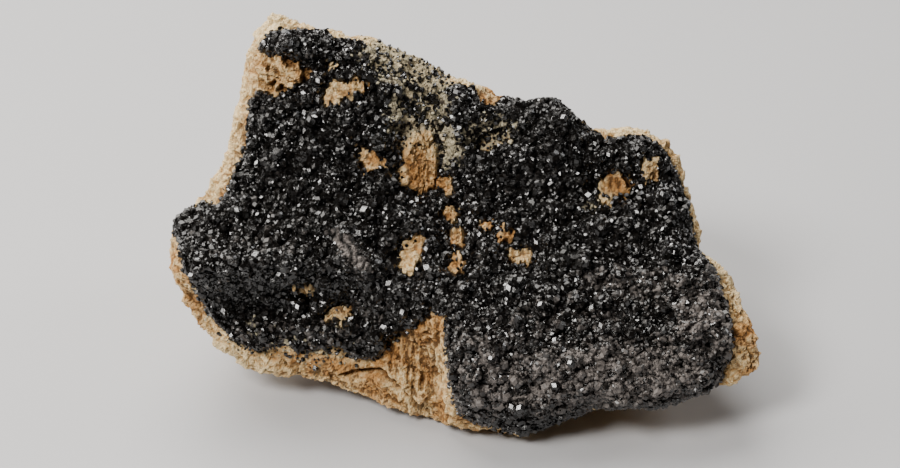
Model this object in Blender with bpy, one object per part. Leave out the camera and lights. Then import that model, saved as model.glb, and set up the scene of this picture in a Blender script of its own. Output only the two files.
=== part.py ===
"""A hand specimen of melanite, the black variety of andradite garnet, about 100 mm wide.

A block of pale, ochre-stained skarn stands on a flat broken base. Its front face leans back and
carries a crust of black garnet crystals, about 2 mm thick, with gaps where the rock shows through.

The front is drawn on the plane of the leaning face: u runs to the right, v up the slope and w out
of the face. The rock's front is a height w over (u, v), and its back is a radius in each direction
from a centre inside the rock, held in by the planes along which the rock broke. The crust lies on
the rock's front and shares its triangles, so an even gap parts them.
"""

import math
from typing import NamedTuple

import bmesh
import bpy
import numpy as np
from mathutils import Matrix, Vector, noise
from mathutils.geometry import delaunay_2d_cdt

MM = 0.001

# Driving dimensions, in millimetres and degrees.
FACE_SLOPE = 50.0
FACE_HEIGHT = 30.0
CRUST_THICKNESS = 2.3
CRUST_EDGE_SHARE = 0.6
CRUST_EDGE_WIDTH = 1.8
CRUST_GAP = 0.3
RIM_ROUNDING_WIDTH = 3.6
RIM_ROUNDING_DEPTH = 2.4

# Distances between neighbouring points of the surfaces, and how near a point comes to a loop, as a
# share of them. The scattered points are picked from this many tries.
FRONT_SPACING = 2.6
CRUST_SPACING = 1.8
BACK_SPACING = 4.0
OUTLINE_STEP = 2.3
LOOP_MARGIN = 0.45
TRIES = 14000
OUTLINE_ROUGHNESS = 0.45
ON_LOOP = 0.1
SEED = 11
FACE_LOW = (-50.0, -36.0)
FACE_HIGH = (50.0, 37.0)

# The rock's outline as seen square to the face, from the top left, clockwise.
ROCK_OUTLINE = [
    (-36.5, 30.5), (-36.0, 33.0), (-34.0, 34.3), (-32.6, 36.0), (-31.2, 35.6), (-29.2, 33.8),
    (-25.7, 33.8), (-23.0, 33.8), (-19.8, 32.4), (-16.5, 32.2), (-14.4, 31.3), (-12.3, 29.7),
    (-9.8, 29.4), (-7.2, 28.4), (-5.4, 26.9), (-2.7, 26.0), (0.0, 24.4), (3.4, 24.0), (6.5, 21.6),
    (10.7, 21.0), (15.6, 21.2), (17.6, 19.2), (20.4, 16.6), (23.2, 15.4), (26.4, 16.5),
    (28.8, 17.2), (31.2, 16.6), (34.6, 14.8), (36.2, 11.8), (38.0, 7.4), (39.2, 2.1), (40.3, -4.0),
    (42.6, -6.1), (44.7, -9.1), (47.2, -14.9), (49.1, -20.3), (50.3, -22.4), (49.9, -24.2),
    (45.8, -26.8), (40.4, -28.2), (35.9, -29.9), (32.6, -31.0), (28.6, -30.8), (24.4, -31.3),
    (20.7, -30.7), (19.6, -32.0), (13.6, -34.2), (9.6, -35.3), (5.2, -34.6), (-0.7, -34.0),
    (-6.4, -32.4), (-11.5, -31.2), (-16.1, -29.1), (-22.3, -27.0), (-29.1, -25.5), (-36.5, -25.0),
    (-41.5, -21.2), (-46.0, -16.1), (-48.3, -11.9), (-49.5, -7.0), (-49.8, -3.9), (-49.2, 0.6),
    (-46.7, 2.4), (-44.4, 3.4), (-43.4, 7.5), (-41.2, 10.8), (-39.8, 15.5), (-38.5, 21.1),
    (-37.1, 26.0),
]

# The crust's own edge, in the same order. It runs inside the rock's outline, with the rock's pale rim
# outside it, or along the outline where the crystals grow right over the rim.
CRUST_OUTLINE = [
    (-34.0, 30.4), (-32.5, 32.4), (-28.6, 32.6), (-23.5, 32.5), (-22.3, 31.1), (-17.6, 30.7),
    (-15.0, 29.4), (-14.6, 28.1), (-17.4, 26.0), (-13.0, 24.5), (-10.1, 24.3), (-10.5, 22.6),
    (-11.7, 20.6), (-10.7, 18.2), (-11.7, 14.6), (-10.9, 10.6), (-11.2, 6.2), (-7.6, 4.7),
    (-4.3, 5.8), (-3.9, 10.0), (-3.1, 12.4), (-4.5, 15.6), (-5.7, 18.6), (-3.7, 20.6), (-4.3, 22.4),
    (-1.2, 23.1), (1.2, 22.9), (2.6, 20.3), (5.4, 19.2), *ROCK_OUTLINE[18:23], (23.6, 14.0),
    (26.0, 14.3), (28.0, 14.8), (30.2, 14.3), (33.1, 12.8), (34.9, 10.2), (36.6, 6.4), (37.8, 1.7),
    (39.0, -4.6), (41.0, -7.2), (42.4, -9.9), (42.8, -12.6), (43.8, -14.8), (44.1, -19.4),
    (43.4, -23.2), (42.0, -26.6), *ROCK_OUTLINE[39:48], (5.4, -33.6), (1.0, -32.6), (-1.2, -30.9),
    (-2.2, -27.0), (-2.7, -21.4), (-3.0, -15.9), (-6.2, -14.2), (-8.8, -16.9), (-13.2, -18.6),
    (-14.6, -22.1), (-17.7, -22.5), (-21.8, -20.1), (-26.4, -21.3), (-31.0, -19.5), (-35.4, -20.9),
    (-39.2, -19.1), (-41.8, -16.3), (-44.4, -12.2), (-46.2, -8.3), (-47.8, -3.8),
    *ROCK_OUTLINE[61:64], (-41.2, 3.0), (-39.7, 6.6), (-38.7, 9.2), (-36.9, 11.9), (-36.1, 17.4),
    (-35.9, 20.4), (-34.4, 22.2), (-32.4, 21.1), (-29.2, 22.1), (-26.4, 23.9), (-24.9, 25.5),
    (-28.3, 27.9), (-31.7, 28.8), (-34.6, 29.4),
]


class Opening(NamedTuple):
    """A gap in the crust where the rock shows, as a rough oval: its middle, half sizes and turn."""

    u: float
    v: float
    half_wide: float
    half_high: float
    turn: float


OPENINGS = [
    Opening(-20.4, 22.1, 4.3, 1.8, 22.0),
    Opening(-22.2, 26.9, 1.4, 1.0, 0.0),
    Opening(-15.8, 10.4, 2.8, 1.8, -20.0),
    Opening(-2.2, 1.9, 1.5, 1.1, 20.0),
    Opening(-1.3, -1.9, 1.8, 2.4, 0.0),
    Opening(3.8, -0.5, 1.6, 1.2, 0.0),
    Opening(7.2, -2.1, 1.6, 1.6, 0.0),
    Opening(9.3, -6.0, 2.2, 2.0, 0.0),
    Opening(-9.0, -5.6, 2.3, 3.1, 0.0),
    Opening(-1.3, -7.6, 1.5, 1.3, 0.0),
    Opening(25.6, 6.8, 3.2, 2.4, 4.0),
    Opening(31.5, 9.2, 1.9, 2.4, 0.0),
    Opening(5.4, 14.6, 3.6, 1.9, 20.0),
    Opening(-20.8, -14.9, 2.6, 1.5, 5.0),
    Opening(-27.0, -11.2, 1.5, 1.3, 0.0),
]
OPENING_SIDES = 9
OPENING_ROUGHNESS = 0.3


class Swell(NamedTuple):
    """A rounded rise or hollow of the face: its middle, half length, half width, turn and height."""

    u: float
    v: float
    along: float
    across: float
    turn: float
    height: float


SWELLS = [
    Swell(-29.7, -13.4, 14.0, 3.6, 6.0, -5.0),   # the deep hollow under the left ledge
    Swell(-13.2, -4.8, 3.0, 2.6, 0.0, -3.4),     # the pit beside the middle opening
    Swell(0.4, 16.0, 4.4, 2.2, 0.0, -2.4),       # the pit under the crest
    Swell(43.8, -24.2, 2.6, 2.4, 0.0, -3.6),     # the notch at the right-hand tip
    Swell(2.6, -31.4, 3.2, 1.5, 0.0, -2.2),
    Swell(8.0, -29.4, 1.6, 2.2, 0.0, -2.2),
    Swell(21.4, -30.4, 2.2, 1.6, 0.0, -1.8),
    Swell(38.2, -20.6, 2.4, 1.3, 0.0, -1.6),
    Swell(-6.8, 12.6, 3.2, 8.0, 0.0, -1.8),      # the groove down the middle of the face
    Swell(-2.0, -1.6, 3.0, 6.5, 0.0, -1.3),
    Swell(-9.4, -26.0, 6.0, 8.5, 0.0, 4.6),      # the bare block at the foot of the groove
    Swell(-19.0, -5.3, 4.4, 1.4, -52.0, 2.4),    # the dull fin on the ledge
    Swell(-36.4, -6.0, 9.5, 2.4, 0.0, 1.4),      # the ledge's lip
    Swell(14.4, 15.6, 7.0, 5.5, 0.0, 2.2),       # the bulge under the right-hand crest
    Swell(29.6, 11.0, 6.0, 4.5, 0.0, 1.2),
    Swell(18.6, -25.6, 16.0, 4.5, 0.0, 1.6),     # the belly of the lower right
    Swell(3.6, -22.0, 4.6, 8.0, 0.0, 1.2),
    Swell(37.4, -18.4, 1.7, 1.7, 0.0, 2.2),      # the knob near the right-hand edge
    Swell(32.0, -11.4, 10.0, 1.7, -8.0, 1.3),
    Swell(-28.0, 30.0, 7.0, 3.4, 0.0, 1.4),
    Swell(-17.0, 24.6, 6.0, 2.2, 14.0, 1.1),
]

# The face's profile up the slope, as (v, w): a ledge over a hollow on the left, a foot on the right.
LEFT_PROFILE = [
    (-40.0, -7.0), (-26.0, -6.0), (-19.0, -3.0), (-12.6, -1.0), (-8.8, 6.0), (3.4, 2.0),
    (20.0, 3.0), (37.0, 4.0),
]
RIGHT_PROFILE = [(-36.0, 0.0), (-30.0, 4.5), (-20.0, 7.0), (6.0, -1.0), (20.0, 2.0), (37.0, 3.0)]
PROFILES_MEET_FROM = [(-22.0, -5.4), (-13.0, -20.0)]
PROFILES_MEET_TO = -2.4
# The noise's fall in height, growth in frequency and number of octaves.
FRACTAL = (0.9, 2.1, 3)
FACE_ROUGHNESS = 0.55
FACE_GRAIN = 6.5
CRUST_ROUGHNESS = 0.7
CRUST_GRAIN = 4.6
CRUST_FACETS = 0.42

# The back of the rock: a centre, the way its back looks, and the planes it broke along, each an
# outward direction and a distance from the centre. The base is the plane under the centre.
BODY_CENTRE = (0.0, 8.0, 25.0)
BACK_WAY = (0.0, 1.0, -0.3)
BREAKS = [
    ((0.20, 0.72, 0.66), 25.5),      # behind the crest
    ((-0.12, 0.97, 0.22), 27.0),     # the back
    ((0.62, 0.74, 0.16), 33.0),
    ((-0.66, 0.72, 0.05), 35.0),
    ((-0.97, 0.10, 0.02), 46.0),     # the left-hand end
    ((-0.85, 0.12, 0.50), 43.5),
    ((0.95, 0.12, 0.25), 40.5),      # the right-hand end
    ((-0.58, -0.08, -0.81), 31.5),   # under the left
    ((0.62, -0.18, -0.76), 35.5),    # under the right
    ((0.0, -0.75, -0.66), 36.5),     # under the front
    ((0.05, 0.70, -0.70), 38.0),     # under the back
]
BREAK_SHARPNESS = 20.0
BACK_ROUGHNESS = 1.5
BACK_GRAIN = 13.0
# Angles from the rim, in radians, over which the back leaves it and its roughness sets in.
RIM_BLEND = 0.5
ROUGH_BLEND = 0.2
# The back draws in from the front's outline with depth, seen from this height over the horizon.
FRONT_ELEVATION = math.radians(35.0)
BACK_TAPER = 0.1
BACK_TRIM = 0.02
BACK_TRIMS = 40

# The larger crystals: rhombic dodecahedra, by the distance between opposite faces. The first ones,
# as (u, v, size), stand out from the rest, which are scattered.
PROMINENT_CRYSTALS = [
    (-33.9, -6.4, 2.7), (-16.6, 2.2, 2.9), (-28.4, -13.6, 2.5), (-24.6, -13.8, 2.1),
    (-10.4, -15.2, 2.4), (-0.2, -11.6, 2.4), (14.6, -12.4, 2.5), (12.8, -14.8, 2.4),
    (25.9, -8.8, 2.4), (17.9, -23.2, 2.5), (14.6, -28.3, 2.6), (8.8, -30.8, 2.5), (4.1, -22.4, 2.3),
    (37.4, -18.4, 3.0), (-37.6, 2.2, 2.3), (-26.0, 17.6, 2.2), (-24.8, 24.2, 2.1),
    (-5.6, -3.8, 2.2), (16.4, 18.0, 2.4), (33.0, 4.4, 2.2),
]
CRYSTAL_SIZES = (1.5, 2.6)
CRYSTAL_SPACING = 4.1
CRYSTAL_EDGE_MARGIN = 1.6
# Shares of a crystal's size: how far its middle stands over the crust, and how far it may be raised
# to stay clear of the crust's underside, by this distance.
CRYSTAL_RISE = 0.08
CRYSTAL_LIFT = 0.15
CRYSTAL_CLEARANCE = 0.2

ROCK_COLOUR = (0.62, 0.44, 0.24, 1.0)
GARNET_COLOUR = (0.012, 0.011, 0.011, 1.0)

SLOPE = math.radians(FACE_SLOPE)
FACE_U = np.array((1.0, 0.0, 0.0))
FACE_V = np.array((0.0, math.cos(SLOPE), math.sin(SLOPE)))
FACE_W = np.array((0.0, -math.sin(SLOPE), math.cos(SLOPE)))
FACE_MIDDLE = np.array((0.0, 0.0, FACE_HEIGHT))


def clear_scene():
    """Removes whatever the scene holds."""
    for obj in list(bpy.data.objects):
        bpy.data.objects.remove(obj)


def smoothstep(low, high, value):
    """0 below low, 1 above high, and a smooth rise between them."""
    t = np.clip((value - low) / (high - low), 0.0, 1.0)
    return t * t * (3.0 - 2.0 * t)


def roughness_at(points, grain, shift):
    """Fractal noise of about -1 to 1 at each 3-D point, with bumps about one grain apart."""
    move = Vector((shift, 0.0, 0.0))
    return np.array([noise.fractal(Vector(p) / grain + move, *FRACTAL) for p in points])


def bell(u, v, swell):
    """A rounded hill of height 1 over an oval patch of the face."""
    turn = math.radians(swell.turn)
    du = u - swell.u
    dv = v - swell.v
    along = (du * math.cos(turn) + dv * math.sin(turn)) / swell.along
    across = (dv * math.cos(turn) - du * math.sin(turn)) / swell.across
    return np.exp(-(along**2 + across**2))


def segments_of(loop):
    """The start and the end of each side of a closed loop."""
    return loop, np.roll(loop, -1, axis=0)


def distance_to(points, loop):
    """Each point's distance to a closed loop."""
    starts, ends = segments_of(loop)
    along = ends - starts
    offset = points[:, None, :] - starts[None]
    share = np.clip((offset * along).sum(2) / (along**2).sum(1), 0.0, 1.0)
    return np.linalg.norm(offset - share[..., None] * along, axis=2).min(1)


def inside(points, loop):
    """Whether each point is inside a closed loop, by counting the sides to its right."""
    starts, ends = segments_of(loop)
    x, y = points[:, 0, None], points[:, 1, None]
    spans = (starts[:, 1] > y) != (ends[:, 1] > y)
    rise = np.where(ends[:, 1] == starts[:, 1], 1.0, ends[:, 1] - starts[:, 1])
    crossing = starts[:, 0] + (y - starts[:, 1]) / rise * (ends[:, 0] - starts[:, 0])
    return (spans & (x < crossing)).sum(1) % 2 == 1


def roughened(points):
    """Points of the plane, each moved a little in a way that depends only on where it is."""
    moves = [[noise.noise(Vector((*point, depth))) for depth in (0.5, 9.5)] for point in points]
    return points + OUTLINE_ROUGHNESS * np.array(moves)


def divided(points, step):
    """A rough closed loop through the points, counter-clockwise, with a point about every step."""
    loop = np.array(points, float)[::-1]
    made = []
    for start, end in zip(*segments_of(loop)):
        count = max(1, round(float(np.linalg.norm(end - start)) / step))
        made += [start + (end - start) * i / count for i in range(count)]
    return roughened(np.array(made))


def opening_loop(opening, dice):
    """The opening's oval with a rough edge."""
    angles = np.arange(OPENING_SIDES) * 2.0 * math.pi / OPENING_SIDES
    reach = 1.0 + OPENING_ROUGHNESS * dice.uniform(-1.0, 1.0, OPENING_SIDES)
    along = opening.half_wide * reach * np.cos(angles)
    across = opening.half_high * reach * np.sin(angles)
    turn = math.radians(opening.turn)
    u = opening.u + along * math.cos(turn) - across * math.sin(turn)
    v = opening.v + along * math.sin(turn) + across * math.cos(turn)
    return np.column_stack((u, v))


def scattered(candidates, spacing, taken):
    """The candidates that keep at least the spacing to those before them and to the points taken."""
    kept = list(taken)
    first = len(kept)
    for point in candidates:
        if (np.linalg.norm(np.array(kept) - point, axis=1) >= spacing).all():
            kept.append(point)
    return np.array(kept[first:])


def triangulated(points, loops):
    """The points and triangles of the plane region inside the first loop, with every loop as edges."""
    given = [Vector(p) for p in points]
    edges = []
    for loop in loops:
        first = len(given)
        given += [Vector(p) for p in loop]
        edges += [(first + i, first + (i + 1) % len(loop)) for i in range(len(loop))]
    found, _, faces, *_ = delaunay_2d_cdt(given, edges, [], 0, 1e-5)
    flat = np.array([tuple(p) for p in found])
    corners = np.array([f for f in faces if len(f) == 3])
    a, b, c = (flat[corners[:, i]] for i in range(3))
    area = (b[:, 0] - a[:, 0]) * (c[:, 1] - a[:, 1]) - (b[:, 1] - a[:, 1]) * (c[:, 0] - a[:, 0])
    corners[area < 0] = corners[area < 0][:, ::-1]
    return flat, corners[inside(flat[corners].mean(1), loops[0])]


def rim_edges(corners):
    """The edges that only one triangle has, in that triangle's direction."""
    directed = np.concatenate([corners[:, (0, 1)], corners[:, (1, 2)], corners[:, (2, 0)]])
    known = {tuple(edge) for edge in directed}
    return [tuple(edge) for edge in directed if (edge[1], edge[0]) not in known]


def rim_loop(corners):
    """The one rim of the triangles, as the points' numbers in order."""
    after = dict(rim_edges(corners))
    loop = [next(iter(after))]
    while after[loop[-1]] != loop[0]:
        loop.append(after[loop[-1]])
    return loop


def rock_height(u, v, rim):
    """The rock's height w over the face's plane: its profile, swells, roughness and round rim."""
    left = np.interp(v, *zip(*LEFT_PROFILE))
    right = np.interp(v, *zip(*RIGHT_PROFILE))
    share = smoothstep(np.interp(v, *zip(*PROFILES_MEET_FROM)), PROFILES_MEET_TO, u)
    height = left * (1.0 - share) + right * share
    for swell in SWELLS:
        height = height + swell.height * bell(u, v, swell)
    flat = np.column_stack((u, v, np.zeros_like(u)))
    height = height + FACE_ROUGHNESS * roughness_at(flat, FACE_GRAIN, 0.0)
    near_rim = 1.0 - np.clip(distance_to(flat[:, :2], rim) / RIM_ROUNDING_WIDTH, 0.0, 1.0)
    return height - RIM_ROUNDING_DEPTH * near_rim**2


def clearance(points, loops):
    """Each point's distance to the nearest of the loops."""
    return np.min([distance_to(points, loop) for loop in loops], axis=0)


def on_crust(points, edges):
    """Whether each point is inside the crust's edge and outside its openings."""
    covered = inside(points, edges[0])
    for loop in edges[1:]:
        covered &= ~inside(points, loop)
    return covered


def candidates_on_face(dice, loops, margin):
    """Points drawn evenly over the whole face that keep the margin to the loops."""
    points = dice.uniform(FACE_LOW, FACE_HIGH, (TRIES, 2))
    return points[clearance(points, loops) > margin]


def crust_rise(flat, edges):
    """The crust's thickness, which is less at its edges, and its lumps."""
    inner = smoothstep(0.0, CRUST_EDGE_WIDTH, clearance(flat, edges))
    lumps = roughness_at(np.column_stack((flat, np.ones(len(flat)))), CRUST_GRAIN, 7.0)
    share = CRUST_EDGE_SHARE + (1.0 - CRUST_EDGE_SHARE) * inner
    return CRUST_THICKNESS * share + CRUST_ROUGHNESS * lumps * inner


def on_face(u, v, w):
    """The world place, in millimetres, of a point given on the leaning face."""
    return FACE_MIDDLE + u[:, None] * FACE_U + v[:, None] * FACE_V + w[:, None] * FACE_W


class Sheet(NamedTuple):
    """A surface over the face's plane: its points as (u, v), their heights w, and its triangles."""

    flat: np.ndarray
    heights: np.ndarray
    corners: np.ndarray

    def placed(self):
        """The points' places in the world, in millimetres."""
        return on_face(*self.flat.T, self.heights)

    def height_at(self, points):
        """The surface's height at points of the plane, carried on past its edge."""
        a, b, c = (self.flat[self.corners[:, i]] for i in range(3))
        ab, ac, offset = b - a, c - a, points[:, None] - a
        span = ab[:, 0] * ac[:, 1] - ab[:, 1] * ac[:, 0]
        to_b = (offset[..., 0] * ac[:, 1] - offset[..., 1] * ac[:, 0]) / span
        to_c = (ab[:, 0] * offset[..., 1] - ab[:, 1] * offset[..., 0]) / span
        found = np.minimum(np.minimum(to_b, to_c), 1.0 - to_b - to_c).argmax(1)
        rows = np.arange(len(points))
        at_a, at_b, at_c = (self.heights[self.corners[found, i]] for i in range(3))
        return at_a + to_b[rows, found] * (at_b - at_a) + to_c[rows, found] * (at_c - at_a)

    def only(self, kept):
        """The sheet with only these triangles, and only the points that they use."""
        used = np.unique(self.corners[kept])
        number = np.full(len(self.flat), -1)
        number[used] = np.arange(len(used))
        return Sheet(self.flat[used], self.heights[used], number[self.corners[kept]])


def break_radius(ways):
    """The distance from the centre to the broken surface along each direction.

    It is the nearest of the break planes, with the edges between them softened by a power mean.
    """
    total = np.zeros(len(ways))
    for outward, distance in BREAKS:
        normal = np.array(outward) / np.linalg.norm(outward)
        total += np.clip(ways @ normal / distance, 0.0, None) ** BREAK_SHARPNESS
    return total ** (-1.0 / BREAK_SHARPNESS)


def base_radius(ways):
    """The distance from the centre to the level base along each direction, or far away above it."""
    down = np.clip(-ways[:, 2], 1e-6, None)
    return BODY_CENTRE[2] / down


def back_frame():
    """Two directions across the way that the back looks, and that way itself."""
    back = np.array(BACK_WAY) / np.linalg.norm(BACK_WAY)
    first = np.cross((0.0, 0.0, 1.0), back)
    first /= np.linalg.norm(first)
    return first, np.cross(back, first), back


def to_plane(ways):
    """Directions laid flat round the back's own, by stereographic projection."""
    first, second, back = back_frame()
    scale = 1.0 / (1.0 + ways @ back)
    return np.column_stack((ways @ first * scale, ways @ second * scale))


def from_plane(flat):
    """The directions that to_plane lays at these points."""
    first, second, back = back_frame()
    square = (flat**2).sum(1)[:, None]
    across = 2.0 * flat[:, :1] * first + 2.0 * flat[:, 1:] * second
    return (across + (1.0 - square) * back) / (1.0 + square)


def as_seen(points):
    """Where points of space fall on the face's plane, in (u, v), seen from the front."""
    offset = points - FACE_MIDDLE
    sight = np.array((0.0, -math.cos(FRONT_ELEVATION), math.sin(FRONT_ELEVATION)))
    onto = offset - (offset @ FACE_W / (sight @ FACE_W))[:, None] * sight
    return np.column_stack((onto @ FACE_U, onto @ FACE_V))


def shows_past_front(points, rim_points):
    """Whether each point shows past the front's rim, which the back draws in from as it gets deeper."""
    depth = np.clip((rim_points @ FACE_W).mean() - points @ FACE_W, 0.0, None)
    seen, rim = as_seen(points), as_seen(rim_points)
    return ~inside(seen, rim) | (distance_to(seen, rim) < BACK_TAPER * depth)


def back_points(flat, rim_points):
    """The back's surface at points of its flat map, fitted to the front's rim where they meet."""
    centre = np.array(BODY_CENTRE)
    ways = from_plane(flat)
    rim_reach = np.linalg.norm(rim_points - centre, axis=1)
    rim_ways = (rim_points - centre) / rim_reach[:, None]
    rim_flat = to_plane(rim_ways)
    bearing = np.arctan2(rim_flat[:, 1], rim_flat[:, 0])
    order = np.argsort(bearing)
    here = np.arctan2(flat[:, 1], flat[:, 0])
    misfit = rim_reach - break_radius(rim_ways)
    misfit = np.interp(here, bearing[order], misfit[order], period=2.0 * math.pi)
    rim_angle = 2.0 * np.arctan(np.linalg.norm(rim_flat, axis=1))
    angle = 2.0 * np.arctan(np.linalg.norm(flat, axis=1))
    from_rim = np.interp(here, bearing[order], rim_angle[order], period=2.0 * math.pi) - angle
    fade = 1.0 - smoothstep(0.0, RIM_BLEND, from_rim)
    reach = break_radius(ways) + misfit * fade
    rough = BACK_ROUGHNESS * roughness_at(centre + ways * reach[:, None], BACK_GRAIN, 3.0)
    reach = reach + rough * smoothstep(0.0, ROUGH_BLEND, from_rim)
    reach = np.minimum(reach, base_radius(ways))
    for _ in range(BACK_TRIMS):
        showing = shows_past_front(centre + ways * reach[:, None], rim_points)
        reach[showing] *= 1.0 - BACK_TRIM
    return centre + ways * reach[:, None]


def new_object(name, points, faces, colour, shine):
    """An object made of these points, in millimetres, and faces, with a plain material."""
    mesh = bpy.data.meshes.new(name)
    mesh.from_pydata([tuple(p * MM) for p in points], [], [tuple(int(i) for i in f) for f in faces])
    mesh.update()
    obj = bpy.data.objects.new(name, mesh)
    bpy.context.scene.collection.objects.link(obj)
    material = bpy.data.materials.new(name)
    material.use_nodes = True
    shader = material.node_tree.nodes["Principled BSDF"]
    shader.inputs["Base Color"].default_value = colour
    shader.inputs["Roughness"].default_value = shine
    mesh.materials.append(material)
    return obj


def build_rock(front):
    """The skarn block: the front sheet over the face, closed by the broken back and the base."""
    placed = front.placed()
    loop = rim_loop(front.corners)
    rim_points = placed[loop]
    centre = np.array(BODY_CENTRE)
    rim_ways = (rim_points - centre) / np.linalg.norm(rim_points - centre, axis=1)[:, None]
    rim_flat = to_plane(rim_ways)[::-1]
    dice = np.random.default_rng(SEED)
    reach = np.abs(rim_flat).max()
    candidates = dice.uniform(-reach, reach, (TRIES, 2))
    candidates = candidates[inside(candidates, rim_flat)]
    solid = back_points(candidates, rim_points)
    chosen = scattered(solid, BACK_SPACING, rim_points)
    numbers = [int(np.argmin(np.linalg.norm(solid - p, axis=1))) for p in chosen]
    _, back_corners = triangulated(candidates[numbers], [rim_flat])
    renumbered = np.concatenate((np.arange(len(numbers)) + len(placed), np.array(loop[::-1])))
    points = np.concatenate((placed, solid[numbers]))
    faces = np.concatenate((front.corners, renumbered[back_corners]))
    return new_object("matrix", points, faces, ROCK_COLOUR, 0.9)


def dodecahedron(size):
    """The 14 corners and 12 faces of a rhombic dodecahedron, a size apart between opposite faces."""
    cube = [(x, y, z) for x in (-1, 1) for y in (-1, 1) for z in (-1, 1)]
    tips = [tuple(2 * sign * (axis == k) for k in range(3)) for axis in range(3) for sign in (-1, 1)]
    corners = np.array(cube + tips, float)
    faces = []
    for first in range(8, 14):
        for second in range(first + 1, 14):
            outward = corners[first] + corners[second]
            if not outward.any():
                continue
            ends = [k for k in range(8) if corners[k] @ outward > 3.0]
            face = [first, ends[0], second, ends[1]]
            turn = np.cross(corners[ends[0]] - corners[first], corners[second] - corners[first])
            faces.append(face if turn @ outward > 0 else face[::-1])
    return corners * size / (2.0 * math.sqrt(2.0)), faces


def random_turn(dice):
    """A rotation matrix drawn evenly from all rotations."""
    spin = dice.normal(size=4)
    w, x, y, z = spin / np.linalg.norm(spin)
    return np.array((
        (1 - 2 * (y * y + z * z), 2 * (x * y - z * w), 2 * (x * z + y * w)),
        (2 * (x * y + z * w), 1 - 2 * (x * x + z * z), 2 * (y * z - x * w)),
        (2 * (x * z - y * w), 2 * (y * z + x * w), 1 - 2 * (x * x + y * y)),
    ))


def crystal_places(edges, dice):
    """The larger crystals' places on the face and their sizes."""
    named = np.array(PROMINENT_CRYSTALS)
    candidates = candidates_on_face(dice, edges, CRYSTAL_EDGE_MARGIN)
    candidates = candidates[on_crust(candidates, edges)]
    others = scattered(candidates, CRYSTAL_SPACING, named[:, :2])
    sizes = CRYSTAL_SIZES[0] + (CRYSTAL_SIZES[1] - CRYSTAL_SIZES[0]) * dice.random(len(others)) ** 2
    return np.concatenate((named[:, :2], others)), np.concatenate((named[:, 2], sizes))


def build_crystals(top, bottom, edges):
    """One object of the larger crystals, each set partly into the crust's top."""
    dice = np.random.default_rng(SEED + 1)
    mesh = bmesh.new()
    for place, size in zip(*crystal_places(edges, dice)):
        ground = top.height_at(place[None])[0]
        corners, faces = dodecahedron(size)
        points = corners @ random_turn(dice).T + np.append(place, ground + CRYSTAL_RISE * size)
        floor = bottom.height_at(points[:, :2])
        lift = max(0.0, (floor + CRYSTAL_CLEARANCE - points[:, 2]).max())
        if lift > CRYSTAL_LIFT * size:
            continue
        points[:, 2] += lift
        verts = [mesh.verts.new(p * MM) for p in on_face(*points.T)]
        for face in faces:
            mesh.faces.new([verts[k] for k in face])
    data = bpy.data.meshes.new("crystal_cutter")
    mesh.to_mesh(data)
    mesh.free()
    obj = bpy.data.objects.new("crystal_cutter", data)
    obj.hide_render = True
    obj.display_type = "WIRE"
    bpy.context.scene.collection.objects.link(obj)
    return obj


def crust_top(bottom, rim, edges):
    """The crust's upper surface, which meets the lower one's edges point for point."""
    dice = np.random.default_rng(SEED + 3)
    candidates = candidates_on_face(dice, edges, LOOP_MARGIN * CRUST_SPACING)
    candidates = candidates[on_crust(candidates, edges)]
    points = scattered(candidates, CRUST_SPACING, np.concatenate(edges))
    flat, corners = triangulated(points, edges)
    corners = corners[on_crust(flat[corners].mean(1), edges)]
    facets = CRUST_FACETS * dice.uniform(-1.0, 1.0, len(flat)) * (clearance(flat, edges) > ON_LOOP)
    ground = np.maximum(rock_height(*flat.T, rim) + CRUST_GAP, bottom.height_at(flat))
    return Sheet(flat, ground + crust_rise(flat, edges) + facets, corners)


def build_crust(front, rim, edges):
    """The garnet crust: a sheet over the rock's front with openings in it, and crystals joined on."""
    bottom = front.only(on_crust(front.flat[front.corners].mean(1), edges))
    bottom = bottom._replace(heights=bottom.heights + CRUST_GAP)
    top = crust_top(bottom, rim, edges)
    count = len(top.flat)
    walls = []
    for a, b in rim_edges(top.corners):
        gaps = [((bottom.flat - top.flat[i]) ** 2).sum(1) for i in (a, b)]
        under = [count + int(np.argmin(gap)) for gap in gaps]
        walls += [(b, a, under[0]), (b, under[0], under[1])]
    points = np.concatenate((top.placed(), bottom.placed()))
    faces = np.concatenate((top.corners, bottom.corners[:, ::-1] + count, np.array(walls)))
    crust = new_object("garnet_crust", points, faces, GARNET_COLOUR, 0.25)
    join = crust.modifiers.new("crystals", "BOOLEAN")
    join.operation = "UNION"
    join.solver = "EXACT"
    join.use_self = True
    join.object = build_crystals(top, bottom, edges)
    return crust


def front_surface():
    """The rock's whole front, and the loops of its rim and of the crust's edge and openings."""
    dice = np.random.default_rng(SEED + 2)
    rim = divided(ROCK_OUTLINE, OUTLINE_STEP)
    edges = [divided(CRUST_OUTLINE, OUTLINE_STEP)]
    edges += [opening_loop(opening, dice) for opening in OPENINGS]
    loops = [rim] + edges
    candidates = candidates_on_face(dice, loops, LOOP_MARGIN * FRONT_SPACING)
    candidates = candidates[inside(candidates, rim)]
    points = scattered(candidates, FRONT_SPACING, np.concatenate(loops))
    flat, corners = triangulated(points, loops)
    return Sheet(flat, rock_height(*flat.T, rim), corners), rim, edges


def rest_on_origin(objects):
    """Moves the objects together so that the middle of their box's floor is the origin."""
    graph = bpy.context.evaluated_depsgraph_get()
    corners = []
    for obj in objects:
        mesh = obj.evaluated_get(graph).to_mesh()
        corners += [tuple(v.co) for v in mesh.vertices]
    low, high = np.min(corners, axis=0), np.max(corners, axis=0)
    shift = Vector((-(low[0] + high[0]) / 2, -(low[1] + high[1]) / 2, -low[2]))
    for obj in bpy.data.objects:
        obj.data.transform(Matrix.Translation(shift))


def main():
    """Builds the specimen."""
    clear_scene()
    front, rim, edges = front_surface()
    rest_on_origin([build_rock(front), build_crust(front, rim, edges)])


main()
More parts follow.
